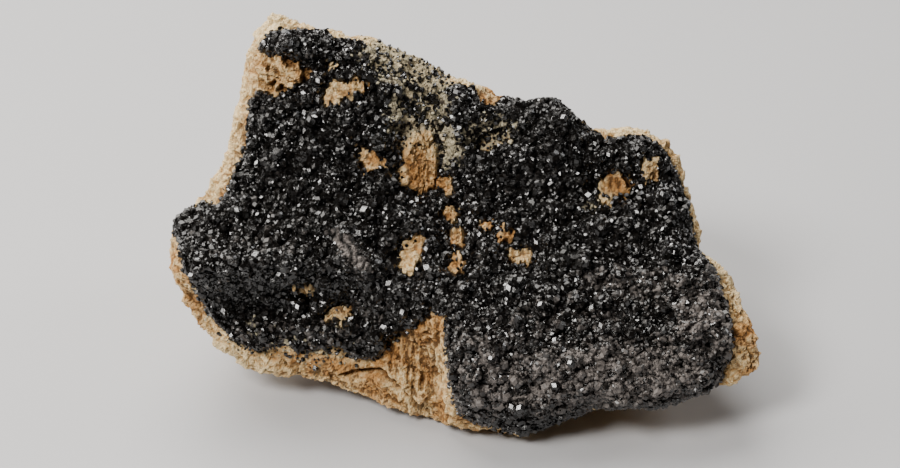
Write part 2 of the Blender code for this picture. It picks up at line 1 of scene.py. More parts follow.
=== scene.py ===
"""The looks of a melanite garnet specimen: a slanting block of skarn with a black crystal crust.

The block and the crust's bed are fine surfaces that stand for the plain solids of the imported
model. Thousands of small crystals are set into the bed, most of them rhombic dodecahedra of about
one millimetre. Places on the leaning front are given as (u, v): millimetres to the right and up the
slope from the face's middle, with w out of the face.
"""

from __future__ import annotations

import logging
import math
from dataclasses import dataclass, field
from enum import Enum
from typing import Any, Sequence

import bmesh
import bpy
import numpy as np
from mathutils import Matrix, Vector

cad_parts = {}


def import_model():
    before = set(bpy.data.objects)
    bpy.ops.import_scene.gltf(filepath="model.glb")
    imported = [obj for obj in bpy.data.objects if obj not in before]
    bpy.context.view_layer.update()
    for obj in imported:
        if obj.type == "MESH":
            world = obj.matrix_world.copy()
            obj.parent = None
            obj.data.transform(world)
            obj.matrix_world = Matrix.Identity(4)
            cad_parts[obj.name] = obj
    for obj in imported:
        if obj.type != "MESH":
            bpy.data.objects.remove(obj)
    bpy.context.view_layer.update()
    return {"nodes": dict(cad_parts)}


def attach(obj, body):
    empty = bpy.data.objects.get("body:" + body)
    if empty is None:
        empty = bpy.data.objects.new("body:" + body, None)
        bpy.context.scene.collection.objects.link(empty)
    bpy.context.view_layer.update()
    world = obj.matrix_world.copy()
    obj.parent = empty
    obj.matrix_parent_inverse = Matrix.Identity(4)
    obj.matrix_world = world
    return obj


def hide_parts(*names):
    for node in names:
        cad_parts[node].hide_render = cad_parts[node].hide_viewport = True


Dice = np.random.Generator
Marks = dict[str, np.ndarray]
Socket = bpy.types.NodeSocket
Pair = tuple[float, float]
Triple = tuple[float, float, float]
Colour = tuple[float, float, float, float]

LOG = logging.getLogger("melanite")
MM = 0.001


# ---------------------------------------------------------------- places on the leaning face


@dataclass(frozen=True)
class LeaningFace:
    """The plane that the specimen's front is laid out on.

    Attributes:
        middle: The plane's own origin in the frame, in millimetres.
        slope: How far the face leans from level, in degrees.
    """

    middle: Triple = (-0.337, -6.922, 30.0)
    slope: float = 50.0

    def axes(self) -> np.ndarray:
        """The directions of u, v and w as the rows of a matrix."""
        lean = math.radians(self.slope)
        return np.array((
            (1.0, 0.0, 0.0),
            (0.0, math.cos(lean), math.sin(lean)),
            (0.0, -math.sin(lean), math.cos(lean)),
        ))

    def laid(self, points: np.ndarray) -> np.ndarray:
        """The (u, v, w) of points of the frame, all in millimetres."""
        return (points - np.array(self.middle)) @ self.axes().T

    def world(self, laid: np.ndarray) -> np.ndarray:
        """The frame's points for places given as (u, v, w), all in millimetres."""
        return np.array(self.middle) + laid @ self.axes()


FACE = LeaningFace()
OUTWARD = FACE.axes()[2]
# The w that parts the front of the block from its back, in millimetres.
BACK = -6.0


def smoothstep(values: np.ndarray, low: float, high: float) -> np.ndarray:
    """0 below low, 1 above high, and 3t^2 - 2t^3 between them."""
    part = np.clip((values - low) / (high - low), 0.0, 1.0)
    return part * part * (3.0 - 2.0 * part)


@dataclass(frozen=True)
class Patch:
    """A soft oval area of the face: its middle, half sizes, turn in degrees and strength."""

    u: float
    v: float
    wide: float
    high: float
    turn: float = 0.0
    strength: float = 1.0

    def cover(self, laid: np.ndarray) -> np.ndarray:
        """The patch's strength times e to the minus fourth power of the oval radius."""
        turn = math.radians(self.turn)
        du, dv = laid[:, 0] - self.u, laid[:, 1] - self.v
        along = (du * math.cos(turn) + dv * math.sin(turn)) / self.wide
        across = (dv * math.cos(turn) - du * math.sin(turn)) / self.high
        return self.strength * np.exp(-((along**2 + across**2) ** 2))


def cover_of(patches: Sequence[Patch], laid: np.ndarray) -> np.ndarray:
    """The strongest cover that any of the patches gives each place.

    Args:
        patches: The areas.
        laid: The places as (u, v, w).

    Returns:
        One number from 0 to 1 for each place.
    """
    return np.max([patch.cover(laid) for patch in patches], axis=0)


@dataclass(frozen=True)
class Crack:
    """A narrow open crack in the rock, in straight parts between (u, v) places."""

    path: tuple[Pair, ...]
    width: float = 0.32
    depth: float = 1.2

    def opened(self, laid: np.ndarray) -> np.ndarray:
        """The depth at each place times e to the minus square of the distance over the width."""
        nearest = np.full(len(laid), np.inf)
        for start, end in zip(np.array(self.path[:-1]), np.array(self.path[1:])):
            way = end - start
            share = np.clip(((laid[:, :2] - start) @ way) / (way @ way), 0.0, 1.0)
            gap = np.linalg.norm(laid[:, :2] - start - share[:, None] * way, axis=1)
            nearest = np.minimum(nearest, gap)
        return self.depth * np.exp(-((nearest / self.width) ** 2))


OLIVE_PATCHES = (
    Patch(-7.6, 20.0, 6.0, 9.0, -8.0), Patch(-11.0, 26.6, 8.5, 4.4, -25.0),
    Patch(-3.0, 13.4, 3.6, 4.6, 20.0, 0.9), Patch(3.8, 15.6, 7.0, 3.4, 12.0, 0.75),
    Patch(21.0, 3.4, 2.4, 2.2, 0.0, 0.6), Patch(-34.0, -17.6, 8.0, 3.4, -16.0, 0.45),
    Patch(-23.0, -19.0, 8.0, 4.0, 0.0, 0.35),
)
DUSTY_PATCHES = (
    Patch(24.0, -26.0, 24.0, 7.0, 4.0, 0.85), Patch(3.0, -26.0, 6.5, 9.0, 0.0, 0.75),
    Patch(40.0, -17.0, 6.5, 8.5, 0.0, 0.8), Patch(31.0, -11.0, 14.0, 3.6, -8.0, 0.55),
    Patch(12.0, -18.0, 18.0, 6.0, 10.0, 0.35), Patch(-19.0, -5.4, 5.4, 1.9, -52.0, 0.65),
    Patch(-33.0, -2.4, 13.0, 4.6, 4.0, 0.2), Patch(-29.0, -19.5, 13.0, 4.6, 0.0, 0.4),
    Patch(-19.0, -16.0, 7.0, 4.0, 0.0, 0.3),
)
FIN_PATCHES = (Patch(-19.2, -5.0, 5.2, 1.7, -52.0, 1.0), Patch(41.4, -15.6, 3.4, 5.0, 0.0, 0.25))
WARM_PATCHES = (
    Patch(-16.0, -28.8, 18.0, 5.0, -14.0, 0.85), Patch(-8.5, -21.0, 6.5, 9.0),
    Patch(48.4, -20.6, 4.0, 6.0, 20.0), Patch(45.0, -12.0, 4.0, 5.0, 20.0, 0.6),
    Patch(-47.0, -10.0, 5.0, 8.0, 20.0, 0.7), Patch(-30.0, 25.4, 6.0, 3.0, -10.0, 0.9),
    Patch(-7.5, 9.6, 4.5, 5.5, 0.0, 0.8), Patch(4.4, 21.5, 3.0, 2.5),
    Patch(3.0, -3.0, 12.0, 7.0, 0.0, 0.9), Patch(28.0, 8.4, 6.0, 4.0),
    Patch(-22.0, -13.0, 9.0, 4.0, 0.0, 0.9), Patch(-18.0, 16.0, 8.0, 9.0, 0.0, 0.8),
    Patch(-38.6, 9.0, 2.0, 15.0, -16.0, 0.9), Patch(-47.6, -12.0, 3.0, 10.0, 14.0, 0.8),
)
# Paler cream on the rims and top edge: partly the rock's own cream, partly painted rim highlight
# where light grazes the edges.
PALE_PATCHES = (
    Patch(-33.6, 34.0, 4.5, 3.5), Patch(-40.4, 12.0, 3.0, 17.0, -14.0, 0.45),
    Patch(-14.0, 31.0, 18.0, 2.6, -20.0, 0.9), Patch(2.0, 24.4, 9.0, 1.6, -22.0, 0.8),
    Patch(30.0, 16.6, 8.0, 1.6, -6.0, 0.9), Patch(43.6, -8.0, 2.4, 6.0, 30.0, 0.6),
    Patch(-38.0, -23.0, 8.0, 2.4, -28.0, 0.6),
)
STREAKED_PATCHES = (
    Patch(-8.5, -23.7, 6.5, 9.5), Patch(-7.5, 10.0, 5.0, 7.0), Patch(28.0, 8.4, 6.0, 4.0, 0.0, 0.8),
    Patch(3.0, -3.0, 12.0, 7.0, 0.0, 0.7),
)
WINDOW_PATCHES = (
    Patch(-20.4, 22.1, 4.3, 1.8, 22.0), Patch(-22.2, 26.9, 1.4, 1.0),
    Patch(-15.8, 10.4, 2.8, 1.8, -20.0), Patch(-7.8, 10.6, 3.6, 6.4), Patch(-3.2, 6.8, 1.4, 2.5),
    Patch(-2.2, 1.9, 1.6, 1.2, 20.0), Patch(-1.3, -1.9, 1.7, 2.5), Patch(3.8, -0.5, 1.7, 1.3),
    Patch(7.2, -2.1, 1.7, 1.7), Patch(9.3, -6.0, 2.3, 2.1), Patch(-9.0, -5.6, 2.4, 3.2),
    Patch(-1.3, -7.6, 1.6, 1.4), Patch(25.4, 6.9, 3.4, 2.7, 4.0), Patch(24.0, 5.0, 1.6, 2.4),
    Patch(31.3, 9.4, 2.0, 2.8), Patch(-20.8, -14.9, 2.7, 1.6, 5.0), Patch(-27.0, -11.2, 1.6, 1.4),
    Patch(-31.0, 25.4, 4.0, 2.4, -8.0),
)
CRACKS = (
    Crack(((-21.0, -25.2), (-14.7, -24.4), (-11.0, -28.2), (-6.8, -31.6), (-5.6, -33.5)), 0.4, 1.9),
    Crack(((-13.6, -17.5), (-12.2, -21.0), (-12.9, -24.6)), 0.35, 0.5),
    Crack(((-9.4, -16.2), (-8.6, -20.4), (-9.6, -25.6), (-8.2, -29.0)), 0.3, 0.45),
    Crack(((-4.6, -17.0), (-5.4, -22.0), (-4.2, -26.4)), 0.3, 0.45),
)


# ---------------------------------------------------------------- noise worked out for whole arrays


class SpaceNoise:
    """Repeatable noise in space, worked out for whole arrays of points at once.

    The lattice repeats after FOLD + 1 cells, and each size of a fractal is shifted by STEP.
    """

    FOLD = 255
    STEP = 17.3

    def __init__(self, seed: int) -> None:
        """Draws the tables that hash the lattice.

        Args:
            seed: The number that the tables are drawn from.
        """
        dice = np.random.default_rng(seed)
        self.shuffle = dice.permutation(self.FOLD + 1)
        ways = dice.normal(size=(self.FOLD + 1, 3))
        self.ways = ways / np.linalg.norm(ways, axis=1)[:, None]
        self.places = dice.random((self.FOLD + 1, 3))

    def hashed(self, cell: np.ndarray) -> np.ndarray:
        """A number from 0 to 255 for each cell of the lattice, from three shuffled look-ups."""
        found = self.shuffle[cell[..., 0] & self.FOLD]
        found = self.shuffle[(found + cell[..., 1]) & self.FOLD]
        return self.shuffle[(found + cell[..., 2]) & self.FOLD]

    def smooth(self, points: np.ndarray, grain: float) -> np.ndarray:
        """Gradient noise of about -0.7 to 0.7.

        Each corner of the lattice cell has a way. The noise is the eight products of way and
        offset, blended along each axis by 6t^5 - 15t^4 + 10t^3.

        Args:
            points: The points, in millimetres.
            grain: The lattice's pitch, in millimetres.

        Returns:
            The noise at each point.
        """
        scaled = points / grain
        cell = np.floor(scaled).astype(int)
        part = scaled - cell
        blend = part**3 * (part * (part * 6.0 - 15.0) + 10.0)
        total = np.zeros(len(points))
        for corner in np.ndindex(2, 2, 2):
            step = np.array(corner)
            way = self.ways[self.hashed(cell + step)]
            share = np.prod(np.where(step == 1, blend, 1.0 - blend), axis=1)
            total += share * ((part - step) * way).sum(1)
        return total

    def fractal(
        self, points: np.ndarray, grain: float, octaves: int, gain: float = 0.5
    ) -> np.ndarray:
        """The sum of smooth noise at a grain and its halves, each gain times as high as the last.

        Args:
            points: The points, in millimetres.
            grain: The coarsest lattice's pitch, in millimetres.
            octaves: How many sizes are summed.
            gain: The fall in height from one size to the next.

        Returns:
            The noise at each point.
        """
        layers = [
            gain**k * self.smooth(points + self.STEP * k, grain / 2.0**k) for k in range(octaves)
        ]
        return np.sum(layers, axis=0)

    def plates(self, points: np.ndarray, grain: float) -> np.ndarray:
        """A field of tilted flat plates with steps between them, as a broken surface has.

        The nearest of the scattered seeds, one in each cell, gives each point its plate; the height
        is the plate's own level plus the point's offset along the plate's way, in grains.

        Args:
            points: The points, in millimetres.
            grain: The plates' usual width, in millimetres.

        Returns:
            The height at each point, about -1 to 1.
        """
        scaled = points / grain
        cell = np.floor(scaled).astype(int)
        nearest = np.full(len(points), np.inf)
        height = np.zeros(len(points))
        for corner in np.ndindex(3, 3, 3):
            near = cell + np.array(corner) - 1
            code = self.hashed(near)
            offset = scaled - (near + self.places[code])
            distance = (offset**2).sum(1)
            closer = distance < nearest
            nearest = np.where(closer, distance, nearest)
            here = self.places[code][:, 0] - 0.5 + (offset * self.ways[code]).sum(1)
            height = np.where(closer, here, height)
        return height


# The noise that shifts the windows' edges, its grain, how far it shifts them along u and v, and
# the covers at which the crust begins and ends, all lengths in millimetres.
WINDOW_NOISE = SpaceNoise(37)
WINDOW_GRAIN = 1.7
WINDOW_SHIFT = (1.3, 2.6)
WINDOW_EDGE = (0.32, 0.62)


def open_share(laid: np.ndarray) -> np.ndarray:
    """How open the crust is at each place, from 0 under it to 1 in its windows.

    It is the windows' cover at the place shifted by noise, which makes their edges ragged.

    Args:
        laid: The places as (u, v, w).

    Returns:
        One number from 0 to 1 for each place.
    """
    flat = laid * np.array((1.0, 0.45, 0.0))
    noises = [WINDOW_NOISE.fractal(flat + 30.0 * k, WINDOW_GRAIN, 3, 0.6) for k in range(2)]
    shift = [reach * noise for reach, noise in zip(WINDOW_SHIFT, noises)]
    moved = laid + np.stack((*shift, np.zeros(len(laid))), axis=1)
    return smoothstep(cover_of(WINDOW_PATCHES, moved), *WINDOW_EDGE)


# ---------------------------------------------------------------- meshes


# How a triangle splits when its first (1), second (2) and third (4) side are cut. The numbers 0
# to 2 are its corners, and 3 to 5 the middles of its sides.
SPLITS = (
    ((0, 1, 2),),
    ((0, 3, 2), (3, 1, 2)),
    ((0, 1, 4), (0, 4, 2)),
    ((3, 1, 4), (0, 3, 4), (0, 4, 2)),
    ((0, 1, 5), (1, 2, 5)),
    ((0, 3, 5), (3, 1, 2), (3, 2, 5)),
    ((5, 4, 2), (0, 1, 4), (0, 4, 5)),
    ((0, 3, 5), (3, 1, 4), (5, 4, 2), (3, 4, 5)),
)


@dataclass
class Surface:
    """A mesh as arrays: points in millimetres, and faces of one number of corners each."""

    points: np.ndarray
    faces: np.ndarray

    @classmethod
    def read(cls, mesh: bpy.types.Mesh) -> "Surface":
        """The triangles of a mesh in metres.

        Args:
            mesh: The mesh that is read.

        Returns:
            The same surface in millimetres.
        """
        mesh.calc_loop_triangles()
        points = np.empty(len(mesh.vertices) * 3)
        mesh.vertices.foreach_get("co", points)
        faces = np.empty(len(mesh.loop_triangles) * 3, dtype=np.int32)
        mesh.loop_triangles.foreach_get("vertices", faces)
        return cls(points.reshape(-1, 3) / MM, faces.reshape(-1, 3))

    def face_normals(self) -> tuple[np.ndarray, np.ndarray]:
        """Each triangle's unit normal and its area, from the cross product of two sides."""
        a, b, c = (self.points[self.faces[:, i]] for i in range(3))
        cross = np.cross(b - a, c - a)
        length = np.linalg.norm(cross, axis=1)
        return cross / np.maximum(length, 1e-12)[:, None], length / 2.0

    def point_normals(self) -> np.ndarray:
        """Each point's normal: the sum of its faces' area-weighted normals, made a unit long."""
        normals, areas = self.face_normals()
        total = np.zeros_like(self.points)
        for corner in range(3):
            np.add.at(total, self.faces[:, corner], normals * areas[:, None])
        return total / np.maximum(np.linalg.norm(total, axis=1), 1e-12)[:, None]

    def around(self, values: np.ndarray) -> np.ndarray:
        """The mean of each point's neighbours' rows of values, along the triangles' sides."""
        total = np.zeros_like(values, dtype=float)
        count = np.zeros(len(self.points))
        for first, second in ((0, 1), (1, 2), (2, 0)):
            a, b = self.faces[:, first], self.faces[:, second]
            np.add.at(total, a, values[b])
            np.add.at(total, b, values[a])
            np.add.at(count, a, 1.0)
            np.add.at(count, b, 1.0)
        return total / np.maximum(count, 1.0)[:, None]

    def hollows(self, reach: int) -> np.ndarray:
        """How far each point lies under its surroundings, in millimetres.

        Args:
            reach: How many times the neighbours' mean is taken to find the surroundings.

        Returns:
            The depth at each point, below 0 on ridges.
        """
        smooth = self.points
        for _ in range(reach):
            smooth = self.around(smooth)
        return ((smooth - self.points) * self.point_normals()).sum(1)

    def refined(self, marked: np.ndarray) -> "Surface":
        """The surface with the marked triangles cut in four at the middles of their sides.

        A side is cut in both triangles that share it, so a neighbour of marked triangles is cut in
        two, three or four as well and the surface stays closed.

        Args:
            marked: Which triangles are cut.

        Returns:
            The finer surface.
        """
        sides = np.stack([self.faces[:, pair] for pair in ((0, 1), (1, 2), (2, 0))], axis=1)
        keys, number = np.unique(np.sort(sides.reshape(-1, 2), axis=1), axis=0, return_inverse=True)
        number = number.reshape(-1, 3)
        cut = np.zeros(len(keys), bool)
        cut[number[marked]] = True
        middle = np.cumsum(cut) - 1 + len(self.points)
        points = np.concatenate((self.points, self.points[keys[cut]].mean(axis=1)))
        corners = np.concatenate((self.faces, middle[number]), axis=1)
        pattern = cut[number] @ np.array((1, 2, 4))
        parts = [
            corners[pattern == code][:, part] for code, split in enumerate(SPLITS) for part in split
        ]
        return Surface(points, np.concatenate(parts))

    def piece(self, name: str, marks: Marks, flat: bool) -> bpy.types.Object:
        """Makes the surface an object of the scene.

        Args:
            name: The object's name.
            marks: Numbers for each point, which the material reads by name.
            flat: Whether each face is shaded as a plane.

        Returns:
            The object, at the origin.
        """
        mesh = bpy.data.meshes.new(name)
        count, sides = self.faces.shape
        mesh.vertices.add(len(self.points))
        mesh.vertices.foreach_set("co", (self.points * MM).astype(np.float32).ravel())
        mesh.loops.add(count * sides)
        mesh.loops.foreach_set("vertex_index", self.faces.astype(np.int32).ravel())
        mesh.polygons.add(count)
        mesh.polygons.foreach_set("loop_start", np.arange(0, count * sides, sides, dtype=np.int32))
        mesh.update(calc_edges=True)
        if flat:
            mesh.shade_flat()
        for mark, values in marks.items():
            layer = mesh.attributes.new(mark, "FLOAT", "POINT")
            layer.data.foreach_set("value", values.astype(np.float32))
        obj = bpy.data.objects.new(name, mesh)
        bpy.context.scene.collection.objects.link(obj)
        return obj


def fine_copy(node: bpy.types.Object, voxel: float) -> Surface:
    """An even fine mesh of a node's solid, by remeshing a merged copy of it.

    Args:
        node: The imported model's node, which is left as it is.
        voxel: The new mesh's pitch, in millimetres.

    Returns:
        The fine surface.
    """
    mesh = node.data.copy()
    soup = bmesh.new()
    soup.from_mesh(mesh)
    bmesh.ops.remove_doubles(soup, verts=soup.verts, dist=1e-6)
    soup.to_mesh(mesh)
    soup.free()
    copy = bpy.data.objects.new("remeshed", mesh)
    bpy.context.scene.collection.objects.link(copy)
    remesh = copy.modifiers.new("even", "REMESH")
    remesh.mode = "VOXEL"
    remesh.voxel_size = voxel * MM
    graph = bpy.context.evaluated_depsgraph_get()
    surface = Surface.read(copy.evaluated_get(graph).to_mesh())
    bpy.data.objects.remove(copy)
    bpy.data.meshes.remove(mesh)
    return surface


def scattered(
    surface: Surface, weight: np.ndarray, tries: int, dice: Dice, spacing: float = 0.0
) -> tuple[np.ndarray, np.ndarray]:
    """Points drawn over a surface, and the normals there.

    A point of a triangle is A + r(B - A) + s(C - A), with r and s folded into the triangle.

    Args:
        surface: The surface.
        weight: How likely each triangle is, for its area.
        tries: How many points are drawn.
        dice: The source of the draws.
        spacing: The pitch of the cubic cells that each keep only their first point, in
            millimetres, or 0 for points that all stay.

    Returns:
        The points and the normals.
    """
    normals, areas = surface.face_normals()
    chance = areas * weight
    picked = dice.choice(len(areas), size=tries, p=chance / chance.sum())
    r, s = dice.random((2, tries))
    folded = r + s > 1.0
    r, s = np.where(folded, 1.0 - r, r), np.where(folded, 1.0 - s, s)
    a, b, c = (surface.points[surface.faces[picked, i]] for i in range(3))
    points, ways = a + r[:, None] * (b - a) + s[:, None] * (c - a), normals[picked]
    if spacing:
        cells = np.floor(points / spacing).astype(int)
        kept = np.sort(np.unique(cells, axis=0, return_index=True)[1])
        points, ways = points[kept], ways[kept]
    return points, ways


class CoverMap:
    """How much of the face round each (u, v) the crust covers, from 0 in the open to 1 under it.

    DRAWS points are drawn for each cell of the grid, which has RIM empty cells round the crust.
    """

    DRAWS = 10.0
    RIM = 20
    SEED = 5

    def __init__(self, crust: Surface, pitch: float = 0.25, softness: int = 10) -> None:
        """Counts points drawn on the crust's front in a grid and softens the result.

        Args:
            crust: The crust's solid.
            pitch: The grid's pitch, in millimetres.
            softness: How many times each cell becomes the mean of itself and its neighbours.
        """
        normals, areas = crust.face_normals()
        front = (normals @ OUTWARD > 0.05).astype(float)
        tries = int(self.DRAWS * (areas * front).sum() / pitch**2)
        points, _ = scattered(crust, front, tries, np.random.default_rng(self.SEED))
        laid = FACE.laid(points)[:, :2]
        self.pitch = pitch
        self.corner = laid.min(0) - self.RIM * pitch
        size = np.ceil((laid.max(0) - self.corner) / pitch).astype(int) + self.RIM
        cell = ((laid - self.corner) / pitch).astype(int)
        count = np.bincount(cell[:, 0] * size[1] + cell[:, 1], minlength=size[0] * size[1])
        grid = (count.reshape(size) > 0).astype(float)
        for _ in range(softness):
            for axis in (0, 1):
                grid = (np.roll(grid, 1, axis) + grid + np.roll(grid, -1, axis)) / 3.0
        self.grid = grid

    def share(self, laid: np.ndarray) -> np.ndarray:
        """The map's value at each place, 0 outside the map.

        Args:
            laid: The places as (u, v, w).

        Returns:
            One number from 0 to 1 for each place.
        """
        cell = np.floor((laid[:, :2] - self.corner) / self.pitch).astype(int)
        limit = np.array(self.grid.shape) - 1
        inside = ((cell >= 0) & (cell <= limit)).all(axis=1)
        cell = np.clip(cell, 0, limit)
        return np.where(inside, self.grid[cell[:, 0], cell[:, 1]], 0.0)


# ---------------------------------------------------------------- shader nodes as expressions


class Flow:
    """A socket's number, on which Python's arithmetic adds Math nodes."""

    def __init__(self, bench: "Bench", socket: Socket) -> None:
        """Wraps a socket of the bench's material."""
        self.bench = bench
        self.socket = socket

    def __add__(self, other: "Flow | float") -> "Flow":
        """This number plus another."""
        return self.bench.math("ADD", self, other)

    def __sub__(self, other: "Flow | float") -> "Flow":
        """This number less another."""
        return self.bench.math("SUBTRACT", self, other)

    def __mul__(self, other: "Flow | float") -> "Flow":
        """This number times another."""
        return self.bench.math("MULTIPLY", self, other)

    def __radd__(self, other: float) -> "Flow":
        """A plain number plus this one."""
        return self.bench.math("ADD", other, self)

    def __rsub__(self, other: float) -> "Flow":
        """A plain number less this one."""
        return self.bench.math("SUBTRACT", other, self)

    def __rmul__(self, other: float) -> "Flow":
        """A plain number times this one."""
        return self.bench.math("MULTIPLY", other, self)

    def ramp(self, low: float, high: float) -> "Flow":
        """0 below low, 1 above high, and a smooth rise between."""
        node = self.bench.add(
            "ShaderNodeMapRange", {"interpolation_type": "SMOOTHSTEP"},
            {"Value": self, "From Min": low, "From Max": high},
        )
        return Flow(self.bench, node.outputs["Result"])


class Bench:
    """A material under construction, and its nodes."""

    def __init__(self, name: str) -> None:
        """Starts a material with only its Principled shader and output.

        Args:
            name: The material's name.
        """
        self.material = bpy.data.materials.new(name)
        self.material.use_nodes = True
        self.tree = self.material.node_tree
        self.shader = self.tree.nodes["Principled BSDF"]

    def add(self, kind: str, settings: dict[str, Any], sockets: dict[Any, Any]) -> bpy.types.Node:
        """Adds one node.

        Args:
            kind: The node's type.
            settings: The node's own properties, which are set first.
            sockets: Values or links for its inputs, by name or number.

        Returns:
            The node.
        """
        node = self.tree.nodes.new(kind)
        for key, value in settings.items():
            setattr(node, key, value)
        for key, value in sockets.items():
            self.feed(node.inputs[key], value)
        return node

    def feed(self, socket: Socket, value: Any) -> None:
        """Links a socket to a flow or another socket, or sets its value."""
        source = value.socket if isinstance(value, Flow) else value
        if isinstance(source, Socket):
            self.tree.links.new(source, socket)
        else:
            socket.default_value = source

    def math(self, operation: str, *values: "Flow | float") -> Flow:
        """The flow of a Math node on these values."""
        node = self.add("ShaderNodeMath", {"operation": operation}, dict(enumerate(values)))
        return Flow(self, node.outputs[0])

    def millimetres(self, stretch: Triple = (1.0, 1.0, 1.0), lean: float = 0.0) -> Socket:
        """Object coordinates in millimetres.

        Args:
            stretch: What each axis is divided by.
            lean: A turn about X before that, in degrees.

        Returns:
            The socket of the coordinates.
        """
        place = self.add("ShaderNodeTexCoord", {}, {}).outputs["Object"]
        scale = tuple(1.0 / (MM * part) for part in stretch)
        turn = (math.radians(lean), 0.0, 0.0)
        turned = self.add("ShaderNodeMapping", {}, {"Vector": place, "Rotation": turn})
        sockets = {"Vector": turned.outputs["Vector"], "Scale": scale}
        return self.add("ShaderNodeMapping", {}, sockets).outputs["Vector"]

    def noise(
        self, place: Socket, grain: float, detail: float = 3.0, rough: float = 0.5
    ) -> Flow:
        """Blender's noise with lumps of a size in millimetres, about 0 to 1."""
        sockets = {"Vector": place, "Scale": 1.0 / grain, "Detail": detail, "Roughness": rough}
        return Flow(self, self.add("ShaderNodeTexNoise", {}, sockets).outputs[0])

    def spots(self, place: Socket, grain: float) -> Flow:
        """The distance to the nearest scattered seed, in grains."""
        sockets = {"Vector": place, "Scale": 1.0 / grain}
        return Flow(self, self.add("ShaderNodeTexVoronoi", {}, sockets).outputs["Distance"])

    def mark(self, name: str) -> Flow:
        """The number that the mesh carries at each point under this name."""
        node = self.add("ShaderNodeAttribute", {"attribute_name": name}, {})
        return Flow(self, node.outputs["Fac"])

    def blend(self, share: "Flow | float", low: Any, high: Any) -> Socket:
        """The colour that goes from low to high as the share goes from 0 to 1."""
        sockets = {"Factor": share, 6: low, 7: high}
        return self.add("ShaderNodeMix", {"data_type": "RGBA"}, sockets).outputs[2]

    def bump(self, height: Flow, depth: float) -> Socket:
        """The normal that a height of this full depth in millimetres gives the surface."""
        sockets = {"Height": height, "Distance": depth * MM, "Strength": 1.0}
        return self.add("ShaderNodeBump", {}, sockets).outputs["Normal"]

    def finish(self, sockets: dict[str, Any]) -> bpy.types.Material:
        """Feeds the shader and returns the material."""
        for key, value in sockets.items():
            self.feed(self.shader.inputs[key], value)
        return self.material


@dataclass(frozen=True)
class SkarnFinish:
    """Broken calc-silicate rock: golden tan and cream, fine-fibred, with brown and rusty stains.

    The mesh's marks give where it is warm, pale, streaked, olive, hollow and sooty with fine
    garnet. The pale rims are partly the rock's cream and partly painted rim highlight, and the
    hollows are darker as painted shade and browner as rust and painted shade. Broad, blotch,
    speck, fine and grit are the sizes of its patterns, fibre a fibre's size along each axis, and
    relief the depth of its bumps, all in millimetres.
    """

    tan: Colour = (0.60, 0.345, 0.125, 1.0)
    cream: Colour = (0.95, 0.75, 0.43, 1.0)
    ochre: Colour = (0.48, 0.21, 0.05, 1.0)
    # Brown of rust stains, also laid in the rock's hollows as painted shade.
    brown: Colour = (0.10, 0.045, 0.016, 1.0)
    olive: Colour = (0.46, 0.40, 0.27, 1.0)
    soot: Colour = (0.022, 0.018, 0.014, 1.0)
    roughness: float = 0.88
    broad: float = 6.0
    blotch: float = 1.8
    speck: float = 0.8
    fine: float = 0.45
    grit: float = 0.16
    fibre: Triple = (0.3, 1.5, 0.6)
    relief: float = 0.9

    def material(self) -> bpy.types.Material:
        """The rock's material."""
        bench = Bench("skarn_rock")
        place = bench.millimetres()
        broad = bench.noise(place, self.broad, 4.0, 0.6)
        blotch = bench.noise(place, self.blotch, 5.0, 0.7)
        fine = bench.noise(place, self.fine, 4.0, 0.7)
        fibre = bench.noise(bench.millimetres(self.fibre, -FACE.slope), 1.0, 4.0, 0.7)
        warm, pale, streaked = bench.mark("warm"), bench.mark("pale"), bench.mark("streaked")
        hollow, soot, olive = bench.mark("hollow"), bench.mark("soot"), bench.mark("olive")
        drawn_out = (fibre - 0.5) * (streaked * 0.5 + 0.12)
        # Lighter with fibre, grain and the pale rims (partly painted rim highlight), darker in
        # hollows as painted shade.
        light = drawn_out + fine * 0.8 + blotch * 0.3 + pale * 0.13 - hollow * 0.05
        colour = bench.blend(light.ramp(0.42, 0.69), self.tan, self.cream)
        ochre = (warm * 0.12 + broad * 0.8 + blotch * 0.7 - pale * 0.1).ramp(0.76, 0.96)
        colour = bench.blend(ochre * 0.85, colour, self.ochre)
        # Brown from fibres, blotches and warm patches as rust stains, and from the hollow mark as
        # painted crease shade.
        stain_and_crease_shade_field = fibre * 0.7 + fine * 0.6 + blotch * 0.5 + hollow * 0.16 + warm * 0.06
        stain_and_crease_shade = stain_and_crease_shade_field.ramp(0.88, 1.05) * (0.3 + warm * 0.55)
        colour = bench.blend(stain_and_crease_shade, colour, self.brown)
        moss = (olive * 0.8 + blotch * 0.8 + fine * 0.6 - 0.7).ramp(0.3, 0.62)
        colour = bench.blend(moss * 0.85, colour, self.olive)
        speck = (1.0 - bench.spots(place, self.speck).ramp(0.14, 0.34)) * blotch.ramp(0.48, 0.58)
        colour = bench.blend(speck * (0.35 + olive * 0.6), colour, self.soot)
        dark = (soot + fine * 0.7 + blotch * 0.5 - 0.7).ramp(0.3, 0.5)
        colour = bench.blend(dark * 0.94, colour, self.soot)
        height = fine * 0.6 + bench.noise(place, self.grit, 2.0) * 0.3 + drawn_out + blotch * 0.3
        return bench.finish({
            "Base Color": colour,
            "Roughness": self.roughness - fine * 0.12,
            "Normal": bench.bump(height, self.relief),
            "Specular IOR Level": 0.2,
        })


